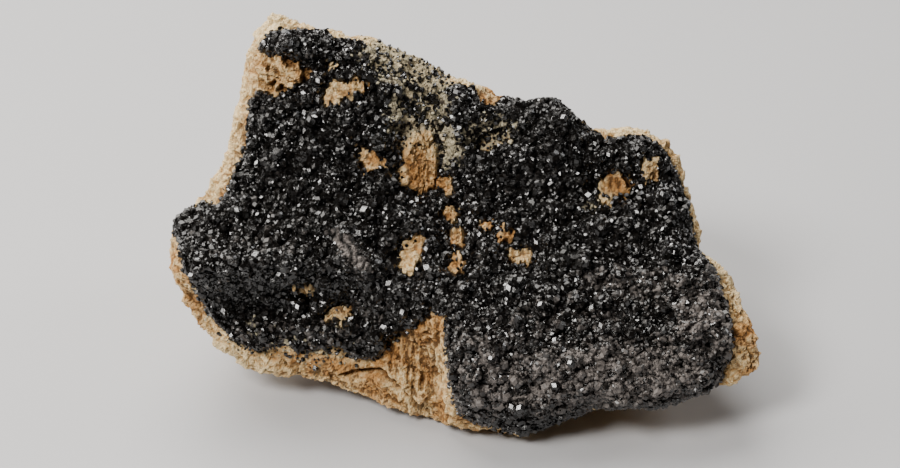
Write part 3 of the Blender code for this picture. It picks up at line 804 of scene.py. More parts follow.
@dataclass(frozen=True)
class BedFinish:
    """The massive fine garnet that the crystals stand in, dark, dull and dusty in places.

    Its hollows are kept clear of dust, which keeps them dark as painted shade. Blotch, grain and
    fine are the sizes of its patterns, and relief the depth of its bumps, in millimetres.
    """

    dark: Colour = (0.008, 0.007, 0.006, 1.0)
    dust: Colour = (0.24, 0.21, 0.192, 1.0)
    olive: Colour = (0.46, 0.40, 0.27, 1.0)
    blotch: float = 1.6
    grain: float = 0.45
    fine: float = 0.3
    relief: float = 0.6

    def material(self) -> bpy.types.Material:
        """The bed's material."""
        bench = Bench("garnet_bed")
        place = bench.millimetres()
        blotch = bench.noise(place, self.blotch, 5.0, 0.65)
        fine = bench.noise(place, self.fine, 3.0, 0.6)
        # Less dust in the hollows keeps them dark as painted shade.
        dusty = bench.mark("dust") * 0.75 + blotch * 0.9 + fine * 0.5 - bench.mark("hollow") * 0.25
        dusty = (dusty - 0.8).ramp(0.1, 0.75)
        colour = bench.blend(dusty, self.dark, self.dust)
        moss = (bench.mark("olive") * 0.9 + blotch * 0.9 - 0.6).ramp(0.25, 0.5)
        colour = bench.blend(moss * 0.85, colour, self.olive)
        grains = 1.0 - bench.spots(place, self.grain).ramp(0.0, 0.9)
        return bench.finish({
            "Base Color": colour,
            "Roughness": 0.45 + dusty * 0.4,
            "Normal": bench.bump(fine * 0.6 + grains * 0.6, self.relief),
            "Specular IOR Level": 0.35,
        })


@dataclass(frozen=True)
class MelaniteFinish:
    """Glassy black crystal faces, duller and browner where the mesh's marks say dust lies.

    Blotch and fine are the sizes of its patterns, and relief the depth of its bumps, in
    millimetres.
    """

    black: Colour = (0.004, 0.0032, 0.0027, 1.0)
    dust: Colour = (0.15, 0.13, 0.118, 1.0)
    ior: float = 1.58
    blotch: float = 0.8
    fine: float = 0.1
    relief: float = 0.02

    def material(self) -> bpy.types.Material:
        """The crystals' material."""
        bench = Bench("melanite_crystal")
        place = bench.millimetres()
        blotch = bench.noise(place, self.blotch, 4.0, 0.65)
        fine = bench.noise(place, self.fine, 2.0)
        dust, tone = bench.mark("dust"), bench.mark("tone")
        dusty = (dust * 0.75 + blotch * 0.9 + tone * 0.45 - 0.85).ramp(0.05, 0.6)
        return bench.finish({
            "Base Color": bench.blend(dusty, self.black, self.dust),
            "Roughness": 0.08 + tone * 0.17 + dusty * 0.5,
            "Normal": bench.bump(fine, self.relief),
            "IOR": self.ior,
        })


@dataclass(frozen=True)
class GravelFinish:
    """Small dull grains of the rock itself, each of its own shade of olive, tan or brown.

    Blotch and fine are the sizes of its patterns, and relief the depth of its bumps, in
    millimetres.
    """

    olive: Colour = (0.38, 0.34, 0.23, 1.0)
    tan: Colour = (0.74, 0.58, 0.36, 1.0)
    brown: Colour = (0.055, 0.042, 0.027, 1.0)
    blotch: float = 1.4
    fine: float = 0.2
    relief: float = 0.12

    def material(self) -> bpy.types.Material:
        """The grains' material."""
        bench = Bench("skarn_gravel")
        place = bench.millimetres()
        blotch = bench.noise(place, self.blotch, 4.0, 0.6)
        fine = bench.noise(place, self.fine, 3.0)
        tone, dust = bench.mark("tone"), bench.mark("dust")
        shade = tone * 0.4 + blotch * 1.2 - 0.5
        colour = bench.blend(shade.ramp(0.1, 0.45), self.brown, self.olive)
        colour = bench.blend((dust * 0.2 + shade).ramp(0.5, 0.75), colour, self.tan)
        return bench.finish({
            "Base Color": colour,
            "Roughness": 0.7 + fine * 0.2,
            "Normal": bench.bump(fine, self.relief),
            "Specular IOR Level": 0.35,
        })


# ---------------------------------------------------------------- crystal shapes and their setting


class Habit(Enum):
    """The crystal forms that melanite grows in."""

    DODECAHEDRON = "twelve rhombic faces"
    TRUNCATED = "rhombic faces with their edges cut by the trapezohedron"


# How far in from its edges a truncated crystal's faces end, as a share of the crystal.
EDGE_CUT = 0.07


def crystal_form(habit: Habit) -> Surface:
    """One crystal a millimetre across between opposite rhombic faces.

    A rhombic dodecahedron has the eight corners (+-1, +-1, +-1) and the six tips at twice each
    axis. Each face joins two neighbouring tips and the two corners between them.

    Args:
        habit: The crystal's form.

    Returns:
        The form, with its faces outward: rhombi, or triangles where the edges are cut.
    """
    mesh = bmesh.new()
    corners = [(x, y, z) for x in (-1, 1) for y in (-1, 1) for z in (-1, 1)]
    tips = [
        tuple(2 * sign * (axis == k) for k in range(3)) for axis in range(3) for sign in (-1, 1)
    ]
    unit = 1.0 / (2.0 * math.sqrt(2.0))
    verts = [mesh.verts.new(Vector(place) * unit) for place in corners + tips]
    for first in range(8, 14):
        for second in range(first + 1, 14):
            outward = verts[first].co + verts[second].co
            if outward.length < unit:
                continue
            shared = sorted(verts[:8], key=lambda vert: -vert.co.dot(outward))[:2]
            mesh.faces.new([verts[first], shared[0], verts[second], shared[1]])
    bmesh.ops.recalc_face_normals(mesh, faces=mesh.faces)
    if habit is Habit.TRUNCATED:
        bmesh.ops.bevel(
            mesh, geom=list(mesh.edges), offset=EDGE_CUT, offset_type="OFFSET", segments=1,
            affect="EDGES", profile=0.5, clamp_overlap=True,
        )
        bmesh.ops.triangulate(mesh, faces=mesh.faces)
    mesh.verts.index_update()
    points = np.array([tuple(vert.co) for vert in mesh.verts])
    faces = np.array([[vert.index for vert in face.verts] for face in mesh.faces])
    mesh.free()
    return Surface(points, faces)


def random_turns(dice: Dice, count: int) -> np.ndarray:
    """Rotation matrices drawn evenly from all rotations, from unit quaternions.

    Args:
        dice: The source of the draws.
        count: How many are drawn.

    Returns:
        An array of count matrices.
    """
    spin = dice.normal(size=(count, 4))
    w, x, y, z = (spin / np.linalg.norm(spin, axis=1)[:, None]).T
    rows = (
        (1 - 2 * (y * y + z * z), 2 * (x * y - z * w), 2 * (x * z + y * w)),
        (2 * (x * y + z * w), 1 - 2 * (x * x + z * z), 2 * (y * z - x * w)),
        (2 * (x * z - y * w), 2 * (y * z + x * w), 1 - 2 * (x * x + y * y)),
    )
    return np.array(rows).transpose(2, 0, 1)


def frames_on(ways: np.ndarray, helpers: np.ndarray) -> np.ndarray:
    """Rotation matrices whose first column is the way and whose others are square to it.

    Args:
        ways: Unit vectors.
        helpers: Other vectors, which set the turn about each way.

    Returns:
        One matrix for each way.
    """
    second = np.cross(ways, helpers)
    second /= np.linalg.norm(second, axis=1)[:, None]
    return np.stack((ways, second, np.cross(ways, second)), axis=2)


def facing_turns(dice: Dice, way: np.ndarray, count: int, loose: float) -> np.ndarray:
    """Rotations that turn one rhombic face of a crystal to a way, with a random spin about it.

    Args:
        dice: The source of the draws.
        way: The direction that the faces look in.
        count: How many rotations are made.
        loose: How far each face may look off the way, as the spread of a unit vector's end.

    Returns:
        An array of count matrices.
    """
    ways = way / np.linalg.norm(way) + loose * dice.normal(size=(count, 3))
    ways /= np.linalg.norm(ways, axis=1)[:, None]
    face = np.array(((1.0, 1.0, 0.0),)) / math.sqrt(2.0)
    form = frames_on(face, np.array(((0.0, 0.0, 1.0),)))
    return frames_on(ways, dice.normal(size=(count, 3))) @ form.transpose(0, 2, 1)


@dataclass
class Crop:
    """Places for many small bodies, with the numbers that the materials read."""

    middle: np.ndarray
    normal: np.ndarray
    size: np.ndarray
    dust: np.ndarray
    tone: np.ndarray
    turn: np.ndarray

    @classmethod
    def standing(
        cls, points: np.ndarray, ways: np.ndarray, size: np.ndarray, rise: float, dust: np.ndarray,
        dice: Dice,
    ) -> "Crop":
        """Bodies on a surface, each raised by a share of its size, in drawn tones and turns.

        Args:
            points: The places on the surface.
            ways: The surface's normals there.
            size: Each body's size, in millimetres.
            rise: How far each middle is raised, as a share of the size.
            dust: How dusty each body is.
            dice: The source of the tones and turns.

        Returns:
            The bodies' places.
        """
        middle = points + ways * (rise * size)[:, None]
        tone = dice.random(len(size))
        return cls(middle, ways, size, dust, tone, random_turns(dice, len(size)))

    def part(self, chosen: np.ndarray) -> "Crop":
        """The crop's members of these numbers."""
        return Crop(**{key: values[chosen] for key, values in vars(self).items()})

    def grown(self, form: Surface, uneven: float, dice: Dice) -> tuple[Surface, Marks]:
        """Copies a form to every place, turned, sized and made a little uneven.

        Each copy is its form times an unevenness along each axis, turned and then moved.

        Args:
            form: One body.
            uneven: The greatest share by which an axis is longer or shorter.
            dice: The source of the unevenness.

        Returns:
            The copies as one surface, and its marks.
        """
        count, corners = len(self.size), len(form.points)
        lengths = 1.0 + uneven * dice.uniform(-1.0, 1.0, (count, 1, 3))
        shapes = (form.points[None] * lengths) @ self.turn.transpose(0, 2, 1)
        points = self.middle[:, None] + shapes * self.size[:, None, None]
        faces = form.faces[None] + (np.arange(count) * corners)[:, None, None]
        marks = {"dust": np.repeat(self.dust, corners), "tone": np.repeat(self.tone, corners)}
        return Surface(points.reshape(-1, 3), faces.reshape(-1, form.faces.shape[1])), marks


# ---------------------------------------------------------------- the specimen's pieces


@dataclass(frozen=True)
class Layer:
    """One layer of roughness: its height and the usual size of its forms, in millimetres.

    As lumps, it has noise of three sizes, each gain times as high as the last.
    """

    height: float
    size: float
    gain: float = 0.5

    def as_lumps(self, noise: SpaceNoise, points: np.ndarray) -> np.ndarray:
        """The height times fractal noise at each point."""
        return self.height * noise.fractal(points, self.size, 3, self.gain)

    def as_plates(self, noise: SpaceNoise, points: np.ndarray) -> np.ndarray:
        """The height times the field of tilted plates at each point."""
        return self.height * noise.plates(points, self.size)


def loose_share(laid: np.ndarray, windows: float) -> np.ndarray:
    """How thickly loose bodies lie on the rock: not behind, less on pale rock and in windows.

    Args:
        laid: The places as (u, v, w).
        windows: The share that the windows take away.

    Returns:
        One number from 0 to 1 for each place.
    """
    share = (laid[:, 2] > BACK) * (1.0 - 0.8 * cover_of(PALE_PATCHES, laid))
    return share * (1.0 - windows * open_share(laid))


@dataclass
class SkarnBlock:
    """The rock: a fine copy of its solid, roughened as broken stone is, and loose grains on it.

    Attributes:
        voxel: The fine mesh's pitch, in millimetres.
        seen_below: The crust's cover below which the rock is seen and meshed most finely.
        window_from: The openness of the crust from which the same goes for a window.
        crack_from: The depth of a crack from which it goes for a crack, in millimetres.
        front_from: The cosine to the face's way out from which a triangle is of the front.
        base_below: The upward part of a normal below which a triangle is of the base.
        front_turn: The cosines between which the front's own roughness and marks set in.
        crust_edge: The covers between which the roughness gives way under the crust.
        soot_edge: The covers between which fine garnet blackens the rock.
        lumps: The broad lumps.
        broken: The larger broken plates.
        chips: The small plates.
        splinters: The smallest plates.
        grit: The finest lumps.
        streaks: The fibrous streaks, whole on the streaked patches.
        plain_streaks: The share of the streaks that the rest of the rock has.
        streak_scale: What u, v and w are multiplied by to draw the streaks out.
        window_rise: How far the rock swells into the crust's openings, in millimetres.
        buried: The share of the roughness that is left under the crust.
        base_fade: How far above the base the roughness is whole, in millimetres.
        hollow_depth: The depth at which a hollow is fully coloured as one, darker as painted shade
            and browner as rust and painted shade, in millimetres.
        grains_below: The crust's cover below which loose grains may lie.
        grains_from: The cosine to the face's way out from which they may lie.
        grain_tries: How many places are drawn for the loose grains.
        grain_spacing: The pitch of the cells that each hold one grain, in millimetres.
        grain_sizes: The grains' least, usual and greatest size, in millimetres.
        grain_spread: The spread of the grains' sizes' logarithm.
        grain_rise: How far a grain's middle is raised, as a share of its size.
        grain_uneven: How far a grain's axes differ in length.
        seed: The number that the grains are drawn from.
        noise: The roughness's noise.
    """

    voxel: float = 1.0
    seen_below: float = 0.7
    window_from: float = 0.2
    crack_from: float = 0.05
    front_from: float = 0.1
    base_below: float = -0.9
    front_turn: Pair = (0.15, 0.6)
    crust_edge: Pair = (0.35, 0.8)
    soot_edge: Pair = (0.25, 0.8)
    lumps: Layer = Layer(0.9, 6.0)
    broken: Layer = Layer(0.42, 3.4)
    chips: Layer = Layer(0.3, 1.5)
    splinters: Layer = Layer(0.16, 0.7)
    grit: Layer = Layer(0.3, 1.1, 0.7)
    streaks: Layer = Layer(0.75, 1.0, 0.6)
    plain_streaks: float = 0.3
    streak_scale: Triple = (1.0, 0.22, 0.6)
    window_rise: float = 1.7
    buried: float = 0.35
    base_fade: float = 1.6
    hollow_depth: float = 0.12
    grains_below: float = 0.75
    grains_from: float = 0.2
    grain_tries: int = 2600
    grain_spacing: float = 0.5
    grain_sizes: Triple = (0.18, 0.28, 0.6)
    grain_spread: float = 0.35
    grain_rise: float = -0.1
    grain_uneven: float = 0.4
    seed: int = 43
    noise: SpaceNoise = field(default_factory=lambda: SpaceNoise(31))

    def relief(self, points: np.ndarray, laid: np.ndarray) -> np.ndarray:
        """The outward move at each point: the sum of lumps, plates, grit and streaks.

        Each layer reads its own part of the noise, and the streaks are noise drawn out in length.
        """
        streaks = self.streaks.as_lumps(self.noise, laid * np.array(self.streak_scale))
        more = (1.0 - self.plain_streaks) * cover_of(STREAKED_PATCHES, laid)
        return (
            self.lumps.as_lumps(self.noise, points)
            + self.broken.as_plates(self.noise, points)
            + self.chips.as_plates(self.noise, points + 50.0)
            + self.splinters.as_plates(self.noise, points + 80.0)
            + self.grit.as_lumps(self.noise, points + 90.0)
            + streaks * (self.plain_streaks + more)
        )

    def shaped(self, node: bpy.types.Object, cover: CoverMap) -> tuple[Surface, Marks]:
        """The rock's surface and marks.

        Args:
            node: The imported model's rock.
            cover: Where the crust lies.

        Returns:
            The surface and its marks.
        """
        surface = fine_copy(node, self.voxel)
        for seen_only in (False, True):
            middles = FACE.laid(surface.points[surface.faces].mean(axis=1))
            share = cover.share(middles)
            seen = (share < self.seen_below) | (open_share(middles) > self.window_from)
            cracked = np.max([crack.opened(middles) for crack in CRACKS], axis=0)
            split = cracked > self.crack_from
            normals, _ = surface.face_normals()
            front = normals @ OUTWARD > self.front_from
            finest = (front & seen) | (split & (middles[:, 2] > BACK))
            rest = ~front & (normals[:, 2] > self.base_below) & (not seen_only)
            surface = surface.refined(finest | rest)
        points, normals = surface.points, surface.point_normals()
        laid = FACE.laid(points)
        facing = np.clip(normals @ OUTWARD, 0.0, 1.0)
        front = smoothstep(facing, *self.front_turn)
        opened = open_share(laid)
        closed = front * (1.0 - opened)
        under = smoothstep(cover.share(laid), *self.crust_edge) * closed
        move = self.relief(points, laid) * (1.0 - (1.0 - self.buried) * under)
        move += self.window_rise * opened * front
        for crack in CRACKS:
            move -= crack.opened(laid) * (laid[:, 2] > BACK)
        move *= np.clip(points[:, 2] / self.base_fade, 0.0, 1.0)
        moved = points + normals * move[:, None]
        moved[:, 2] = np.maximum(moved[:, 2], np.minimum(points[:, 2], 0.0))
        rock = Surface(moved, surface.faces)
        marks = {
            "warm": np.clip(cover_of(WARM_PATCHES, laid) + 0.35 * (facing < 0.1), 0.0, 1.0),
            # Pale: paler cream on the front's rims, partly the rock's cream and partly painted rim
            # highlight.
            "pale": cover_of(PALE_PATCHES, laid) * smoothstep(facing, 0.0, 0.2),
            "streaked": cover_of(STREAKED_PATCHES, laid) * front,
            "olive": cover_of(OLIVE_PATCHES, laid) * front * (1.0 - 0.8 * opened),
            # Hollows, which the rock's material darkens as painted shade and browns partly as rust
            # and partly as painted shade.
            "hollow": np.clip(rock.hollows(5) / self.hollow_depth, -1.0, 1.0),
            "soot": smoothstep(cover.share(laid), *self.soot_edge) * closed,
        }
        return rock, marks

    def grains(self, rock: Surface, cover: CoverMap, dice: Dice) -> Crop:
        """Chooses places for dull grains in the olive areas of the rock.

        Args:
            rock: The rock's surface.
            cover: Where the crust lies.
            dice: The source of the draws.

        Returns:
            The grains' places.
        """
        normals, _ = rock.face_normals()
        middles = rock.points[rock.faces].mean(axis=1)
        laid = FACE.laid(middles)
        weight = cover_of(OLIVE_PATCHES, laid) * (cover.share(laid) < self.grains_below)
        weight *= (normals @ OUTWARD > self.grains_from) * loose_share(laid, 1.0)
        points, ways = scattered(rock, weight, self.grain_tries, dice, self.grain_spacing)
        least, usual, greatest = self.grain_sizes
        size = usual * np.exp(self.grain_spread * dice.normal(size=len(points)))
        size = np.clip(size, least, greatest)
        warm = cover_of(WARM_PATCHES, FACE.laid(points))
        return Crop.standing(points, ways, size, self.grain_rise, warm, dice)

    def build(
        self, node: bpy.types.Object, cover: CoverMap
    ) -> tuple[list[bpy.types.Object], Surface]:
        """Makes the rock and its grains.

        Args:
            node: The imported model's rock.
            cover: Where the crust lies.

        Returns:
            The finished pieces, the rock first, and the rock's surface.
        """
        rock, marks = self.shaped(node, cover)
        block = rock.piece("rock_block", marks, flat=True)
        block.data.materials.append(SkarnFinish().material())
        dice = np.random.default_rng(self.seed)
        grains, form = self.grains(rock, cover, dice), crystal_form(Habit.DODECAHEDRON)
        grown, marks = grains.grown(form, self.grain_uneven, dice)
        gravel = grown.piece("rock_gravel", marks, flat=True)
        gravel.data.materials.append(GravelFinish().material())
        return [block, gravel], rock


@dataclass
class GarnetCrust:
    """The crust: a bed of massive garnet and the crystals that stand in it.

    Attributes:
        voxel: The bed mesh's pitch, in millimetres.
        facing: The cosines to the face's way out between which the relief sets in.
        shown_from: The dust or olive cover from which the bed itself is seen.
        sink: How far the bed lies under the crust's solid, in millimetres.
        window_sink: How much farther it lies in the windows, in millimetres.
        window_flat: The share of the relief that it loses there.
        swell: How far it stands up where it is dusty or olive, in millimetres.
        lumps: The lumps that the crystals gather in.
        creases: The creases between them.
        crease_width: The size of the noise at which a crease ends.
        plates: The broken plates of the dusty and olive bed.
        flakes: The smaller plates on them.
        grit: The bed's finest lumps.
        fin_rise: The height of the dull ridge without crystals, in millimetres.
        fin_smooth: The share of the plates that the ridge loses.
        fin_bare: The share of the crystals that the ridge loses.
        dusty_bare: The share of the crystals that the dustiest places lose.
        hollow_depth: The depth at which a bed's hollow is fully kept dark as painted shade, in
            millimetres.
        tries: How many places are drawn for the small crystals.
        spacing: The pitch of the cells that each hold one small crystal, in millimetres.
        usual: The usual size between opposite faces, in millimetres.
        spread: The spread of the sizes' logarithm.
        families: How much, and over what length, the sizes vary from place to place.
        dustiness: How dusty the crystals of the dustiest places are.
        patchy: How much, and over what length, the dust varies.
        dusty_shrink: The share by which crystals are smaller where they are dusty.
        smallest: The least size, in millimetres.
        largest: The greatest size, in millimetres.
        depths: The least and greatest depth of a crystal's middle, as shares of its size.
        uneven: How far a crystal's axes differ in length.
        window_edge: The openness at which crystals begin to be left out, and all are.
        crumbed: The share of the crystals left out that give their places to crumbs.
        crumb_size: The size of a crumb, as a share of a crystal's.
        stray_tries: How many places are drawn for the crystals on the rock.
        stray_size: Their size, as a share of the usual.
        stray_sizes: Their least and greatest size, in millimetres.
        stray_rise: How far their middles are raised, as a share of their size.
        places: How many places are drawn for the larger and the prominent crystals.
        larger: How many of these the larger crystals may take.
        larger_sizes: Their least and greatest size, in millimetres.
        larger_rise: How far their middles are raised, as a share of their size.
        prominent: The (u, v) and size of each crystal that stands out.
        prominent_uneven: How far a prominent crystal's axes differ in length.
        prominent_rise: How far its middle is raised, as a share of its size.
        prominent_dust: The share of the usual dust that it has.
        prominent_tone: The share of the usual dullness that it may have.
        glint: The way that the prominent crystals' brightest face looks.
        glint_loose: How far each of them may look off that way.
        bands: How many pieces the small crystals make.
        seed: The number that the crystals are drawn from.
        noise: The crust's noise.
    """

    voxel: float = 0.54
    facing: Pair = (0.0, 0.5)
    shown_from: float = 0.3
    sink: float = 0.26
    window_sink: float = 1.5
    window_flat: float = 0.6
    swell: float = 0.2
    lumps: Layer = Layer(1.5, 3.0, 0.62)
    creases: Layer = Layer(0.975, 2.2)
    crease_width: float = 0.32
    plates: Layer = Layer(0.4, 1.9)
    flakes: Layer = Layer(0.35, 0.8)
    grit: Layer = Layer(0.4, 1.0, 0.75)
    fin_rise: float = 0.6
    fin_smooth: float = 0.7
    fin_bare: float = 0.97
    dusty_bare: float = 0.25
    hollow_depth: float = 0.2
    tries: int = 500000
    spacing: float = 0.44
    usual: float = 0.58
    spread: float = 0.33
    families: Layer = Layer(0.35, 5.0)
    dustiness: float = 0.75
    patchy: Layer = Layer(0.45, 2.2)
    dusty_shrink: float = 0.22
    smallest: float = 0.32
    largest: float = 1.35
    depths: Pair = (0.04, 0.5)
    uneven: float = 0.3
    window_edge: Pair = (0.35, 0.75)
    crumbed: float = 0.3
    crumb_size: float = 0.65
    stray_tries: int = 5200
    stray_size: float = 0.8
    stray_sizes: Pair = (0.3, 1.0)
    stray_rise: float = 0.12
    places: int = 4000
    larger: int = 260
    larger_sizes: Pair = (0.85, 1.25)
    larger_rise: float = 0.28
    prominent: tuple[Triple, ...] = (
        (-33.9, -6.4, 1.8), (-16.6, 2.2, 1.9), (-28.4, -13.6, 1.4), (-24.6, -13.8, 1.2),
        (-10.4, -15.2, 1.5), (-0.2, -11.6, 1.5), (14.6, -12.4, 1.6), (12.8, -14.8, 1.4),
        (25.9, -8.8, 1.5), (17.9, -23.2, 1.4), (14.6, -28.3, 1.6), (8.8, -30.8, 1.6),
        (4.1, -22.4, 1.3), (-37.6, 2.2, 1.4), (-26.0, 17.6, 1.3), (-24.8, 24.2, 1.3),
        (-5.6, -3.8, 1.3), (16.4, 18.0, 1.4), (33.0, 4.4, 1.3),
    )
    prominent_uneven: float = 0.08
    prominent_rise: float = 0.4
    prominent_dust: float = 0.3
    prominent_tone: float = 0.4
    glint: Triple = (-0.24, -0.68, 0.69)
    glint_loose: float = 0.06
    bands: int = 5
    seed: int = 41
    noise: SpaceNoise = field(default_factory=lambda: SpaceNoise(33))

    def relief(self, points: np.ndarray) -> np.ndarray:
        """How far the crust rises at each point: lumps, less creases where the noise crosses zero.

        A crease's depth goes with the square of 1 less the noise's size over the crease's width.
        """
        away = np.abs(self.noise.smooth(points + 40.0, self.creases.size)) / self.crease_width
        crease = 1.0 - np.clip(away, 0.0, 1.0)
        rise = self.lumps.as_lumps(self.noise, points) - self.creases.height * crease**2
        return rise + self.fin_rise * cover_of(FIN_PATCHES, FACE.laid(points))

    def bed(self, node: bpy.types.Object, finish: bpy.types.Material) -> bpy.types.Object:
        """Makes the bed, a fine copy of the crust's solid with a lumpy, lowered top.

        Args:
            node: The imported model's crust.
            finish: The bed's material.

        Returns:
            The finished piece.
        """
        surface = fine_copy(node, self.voxel)
        laid = FACE.laid(surface.points[surface.faces].mean(axis=1))
        shown = cover_of(DUSTY_PATCHES + OLIVE_PATCHES, laid) > self.shown_from
        surface = surface.refined(shown & (surface.face_normals()[0] @ OUTWARD > 0.0))
        points, normals = surface.points, surface.point_normals()
        laid = FACE.laid(points)
        dust, olive = cover_of(DUSTY_PATCHES, laid), cover_of(OLIVE_PATCHES, laid)
        opened = open_share(laid)
        facing = smoothstep(normals @ OUTWARD, *self.facing)
        massive = self.plates.as_plates(self.noise, points)
        massive += self.flakes.as_plates(self.noise, points + 20.0)
        massive *= 1.0 - self.fin_smooth * cover_of(FIN_PATCHES, laid)
        rise = self.relief(points) * (1.0 - self.window_flat * opened)
        rise -= self.sink + self.window_sink * opened
        rise += np.maximum(dust, olive) * (self.swell + massive) * (1.0 - opened)
        rough = self.grit.as_lumps(self.noise, points)
        moved = points + normals * rough[:, None] + OUTWARD * (rise * facing)[:, None]
        bed = Surface(moved, surface.faces)
        marks = {
            "dust": dust,
            "olive": olive,
            # Hollows, which the bed's material keeps darker as painted shade.
            "hollow": np.clip(bed.hollows(4) / self.hollow_depth, -1.0, 1.0),
        }
        piece = bed.piece("garnet_bed", marks, flat=False)
        piece.data.materials.append(finish)
        return piece

    def crop(self, points: np.ndarray, normals: np.ndarray, dice: Dice) -> Crop:
        """Crystals of the usual sizes at places on the crust's solid, raised by its relief.

        Args:
            points: The places.
            normals: The solid's normals there.
            dice: The source of the sizes, depths and turns.

        Returns:
            The crystals' places.
        """
        count = len(points)
        laid = FACE.laid(points)
        dust = self.dustiness * cover_of(DUSTY_PATCHES, laid)
        dust = np.clip(dust + self.patchy.as_lumps(self.noise, points), 0.0, 1.0)
        family = self.families.height * self.noise.smooth(points + 70.0, self.families.size)
        size = self.usual * np.exp(self.spread * dice.normal(size=count))
        size *= (1.0 - self.dusty_shrink * dust) * (1.0 + family)
        size = np.clip(size, self.smallest, self.largest)
        facing = smoothstep(normals @ OUTWARD, *self.facing)
        depth = dice.uniform(*self.depths, count) * size
        middle = points - normals * depth[:, None]
        middle = middle + OUTWARD * (self.relief(points) * facing)[:, None]
        return Crop(middle, normals, size, dust, dice.random(count), random_turns(dice, count))

    def small(self, crust: Surface, dice: Dice) -> tuple[Crop, Crop]:
        """Chooses the small crystals, one in each cell of a lattice, and the crumbs among them.

        Args:
            crust: The crust's solid.
            dice: The source of the draws.

        Returns:
            The crystals, and the crumbs of rock that take their places on olive areas.
        """
        normals, _ = crust.face_normals()
        front = np.clip((normals @ OUTWARD + 0.25) / 0.35, 0.0, 1.0)
        points, ways = scattered(crust, front, self.tries, dice, self.spacing)
        laid = FACE.laid(points)
        least, greatest = self.window_edge
        in_window = open_share(laid) > least + (greatest - least) * dice.random(len(laid))
        points, ways, laid = points[~in_window], ways[~in_window], laid[~in_window]
        ragged = self.noise.fractal(points, 2.2, 3)
        olive = cover_of(OLIVE_PATCHES, laid)
        bare = np.clip(olive * 1.45 + 0.9 * ragged - 0.3, 0.0, 0.93)
        drawn = dice.random(len(points))
        dull = self.fin_bare * cover_of(FIN_PATCHES, laid)
        dull += self.dusty_bare * cover_of(DUSTY_PATCHES, laid)
        crumbed = (drawn < self.crumbed * bare) & (olive > self.shown_from)
        stays = drawn > bare + dull
        crystals = self.crop(points[stays], ways[stays], dice)
        crumbs = self.crop(points[crumbed], ways[crumbed], dice)
        crumbs.size *= self.crumb_size
        return crystals, crumbs

    def strays(self, rock: Surface, cover: CoverMap, dice: Dice) -> Crop:
        """Chooses crystals that stand on the rock itself, most of them close to the crust's edge.

        Args:
            rock: The rock's surface.
            cover: Where the crust lies.
            dice: The source of the draws.

        Returns:
            The crystals' places.
        """
        normals, _ = rock.face_normals()
        laid = FACE.laid(rock.points[rock.faces].mean(axis=1))
        share = cover.share(laid)
        near = (smoothstep(share, 0.1, 0.5) + 0.3 * cover_of(OLIVE_PATCHES, laid)) * (share < 0.7)
        clumped = smoothstep(self.noise.fractal(laid, 2.4, 3), -0.3, 0.4)
        weight = near * (0.15 + 0.85 * clumped) * (normals @ OUTWARD > 0.15)
        weight *= loose_share(laid, 0.93)
        points, ways = scattered(rock, weight, self.stray_tries, dice, self.spacing)
        size = self.stray_size * self.usual * np.exp(self.spread * dice.normal(size=len(points)))
        size = np.clip(size, *self.stray_sizes)
        dust = cover_of(DUSTY_PATCHES, FACE.laid(points))
        return Crop.standing(points, ways, size, self.stray_rise, dust, dice)

    def large(self, crust: Surface, dice: Dice) -> tuple[Crop, Crop]:
        """Chooses the prominent crystals, and a scatter of others larger than their neighbours.

        Args:
            crust: The crust's solid.
            dice: The source of the draws.

        Returns:
            The prominent crystals and the others.
        """
        normals, _ = crust.face_normals()
        front = (normals @ OUTWARD > 0.3).astype(float)
        points, ways = scattered(crust, front, self.places, dice)
        laid = FACE.laid(points)
        named = np.array(self.prominent)
        nearest = np.linalg.norm(laid[None, :, :2] - named[:, None, :2], axis=2).argmin(1)
        leaders = self.crop(points[nearest], ways[nearest], dice)
        leaders.size, leaders.dust = named[:, 2], leaders.dust * self.prominent_dust
        leaders.middle += leaders.normal * (self.prominent_rise * leaders.size)[:, None]
        leaders.turn = facing_turns(dice, np.array(self.glint), len(named), self.glint_loose)
        leaders.tone *= self.prominent_tone
        others = np.arange(self.larger)
        others = others[dice.random(len(others)) > 0.6 * cover_of(DUSTY_PATCHES, laid[others])]
        company = self.crop(points[others], ways[others], dice)
        company.size = dice.uniform(*self.larger_sizes, len(others))
        company.middle += company.normal * (self.larger_rise * company.size)[:, None]
        return leaders, company

    def build(
        self, node: bpy.types.Object, rock: Surface, cover: CoverMap
    ) -> list[bpy.types.Object]:
        """Makes the bed and all crystals, the small ones split into bands up the face.

        Args:
            node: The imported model's crust.
            rock: The rock's finished surface, for the crystals that stand on it.
            cover: Where the crust lies.

        Returns:
            The finished pieces, the bed first.
        """
        dice = np.random.default_rng(self.seed)
        crust = Surface.read(node.data)
        finish = MelaniteFinish().material()
        plain, cut = crystal_form(Habit.DODECAHEDRON), crystal_form(Habit.TRUNCATED)
        small, crumbs = self.small(crust, dice)
        bands = np.array_split(np.argsort(FACE.laid(small.middle)[:, 1]), self.bands)
        leaders, company = self.large(crust, dice)
        crops = {
            f"small_crystals_{number}": (small.part(band), plain)
            for number, band in enumerate(bands, 1)
        }
        crops["larger_crystals"] = (company, plain)
        crops["prominent_crystals"] = (leaders, cut)
        crops["stray_crystals"] = (self.strays(rock, cover, dice), plain)
        crops["crust_crumbs"] = (crumbs, plain)
        pieces = [self.bed(node, BedFinish().material())]
        for name, (crop, form) in crops.items():
            uneven = self.uneven if form is plain else self.prominent_uneven
            grown, marks = crop.grown(form, uneven, dice)
            pieces.append(grown.piece(name, marks, flat=True))
            own = GravelFinish().material() if crop is crumbs else finish
            pieces[-1].data.materials.append(own)
            LOG.info("%s: %d crystals", name, len(crop.size))
        return pieces


# ---------------------------------------------------------------- the studio


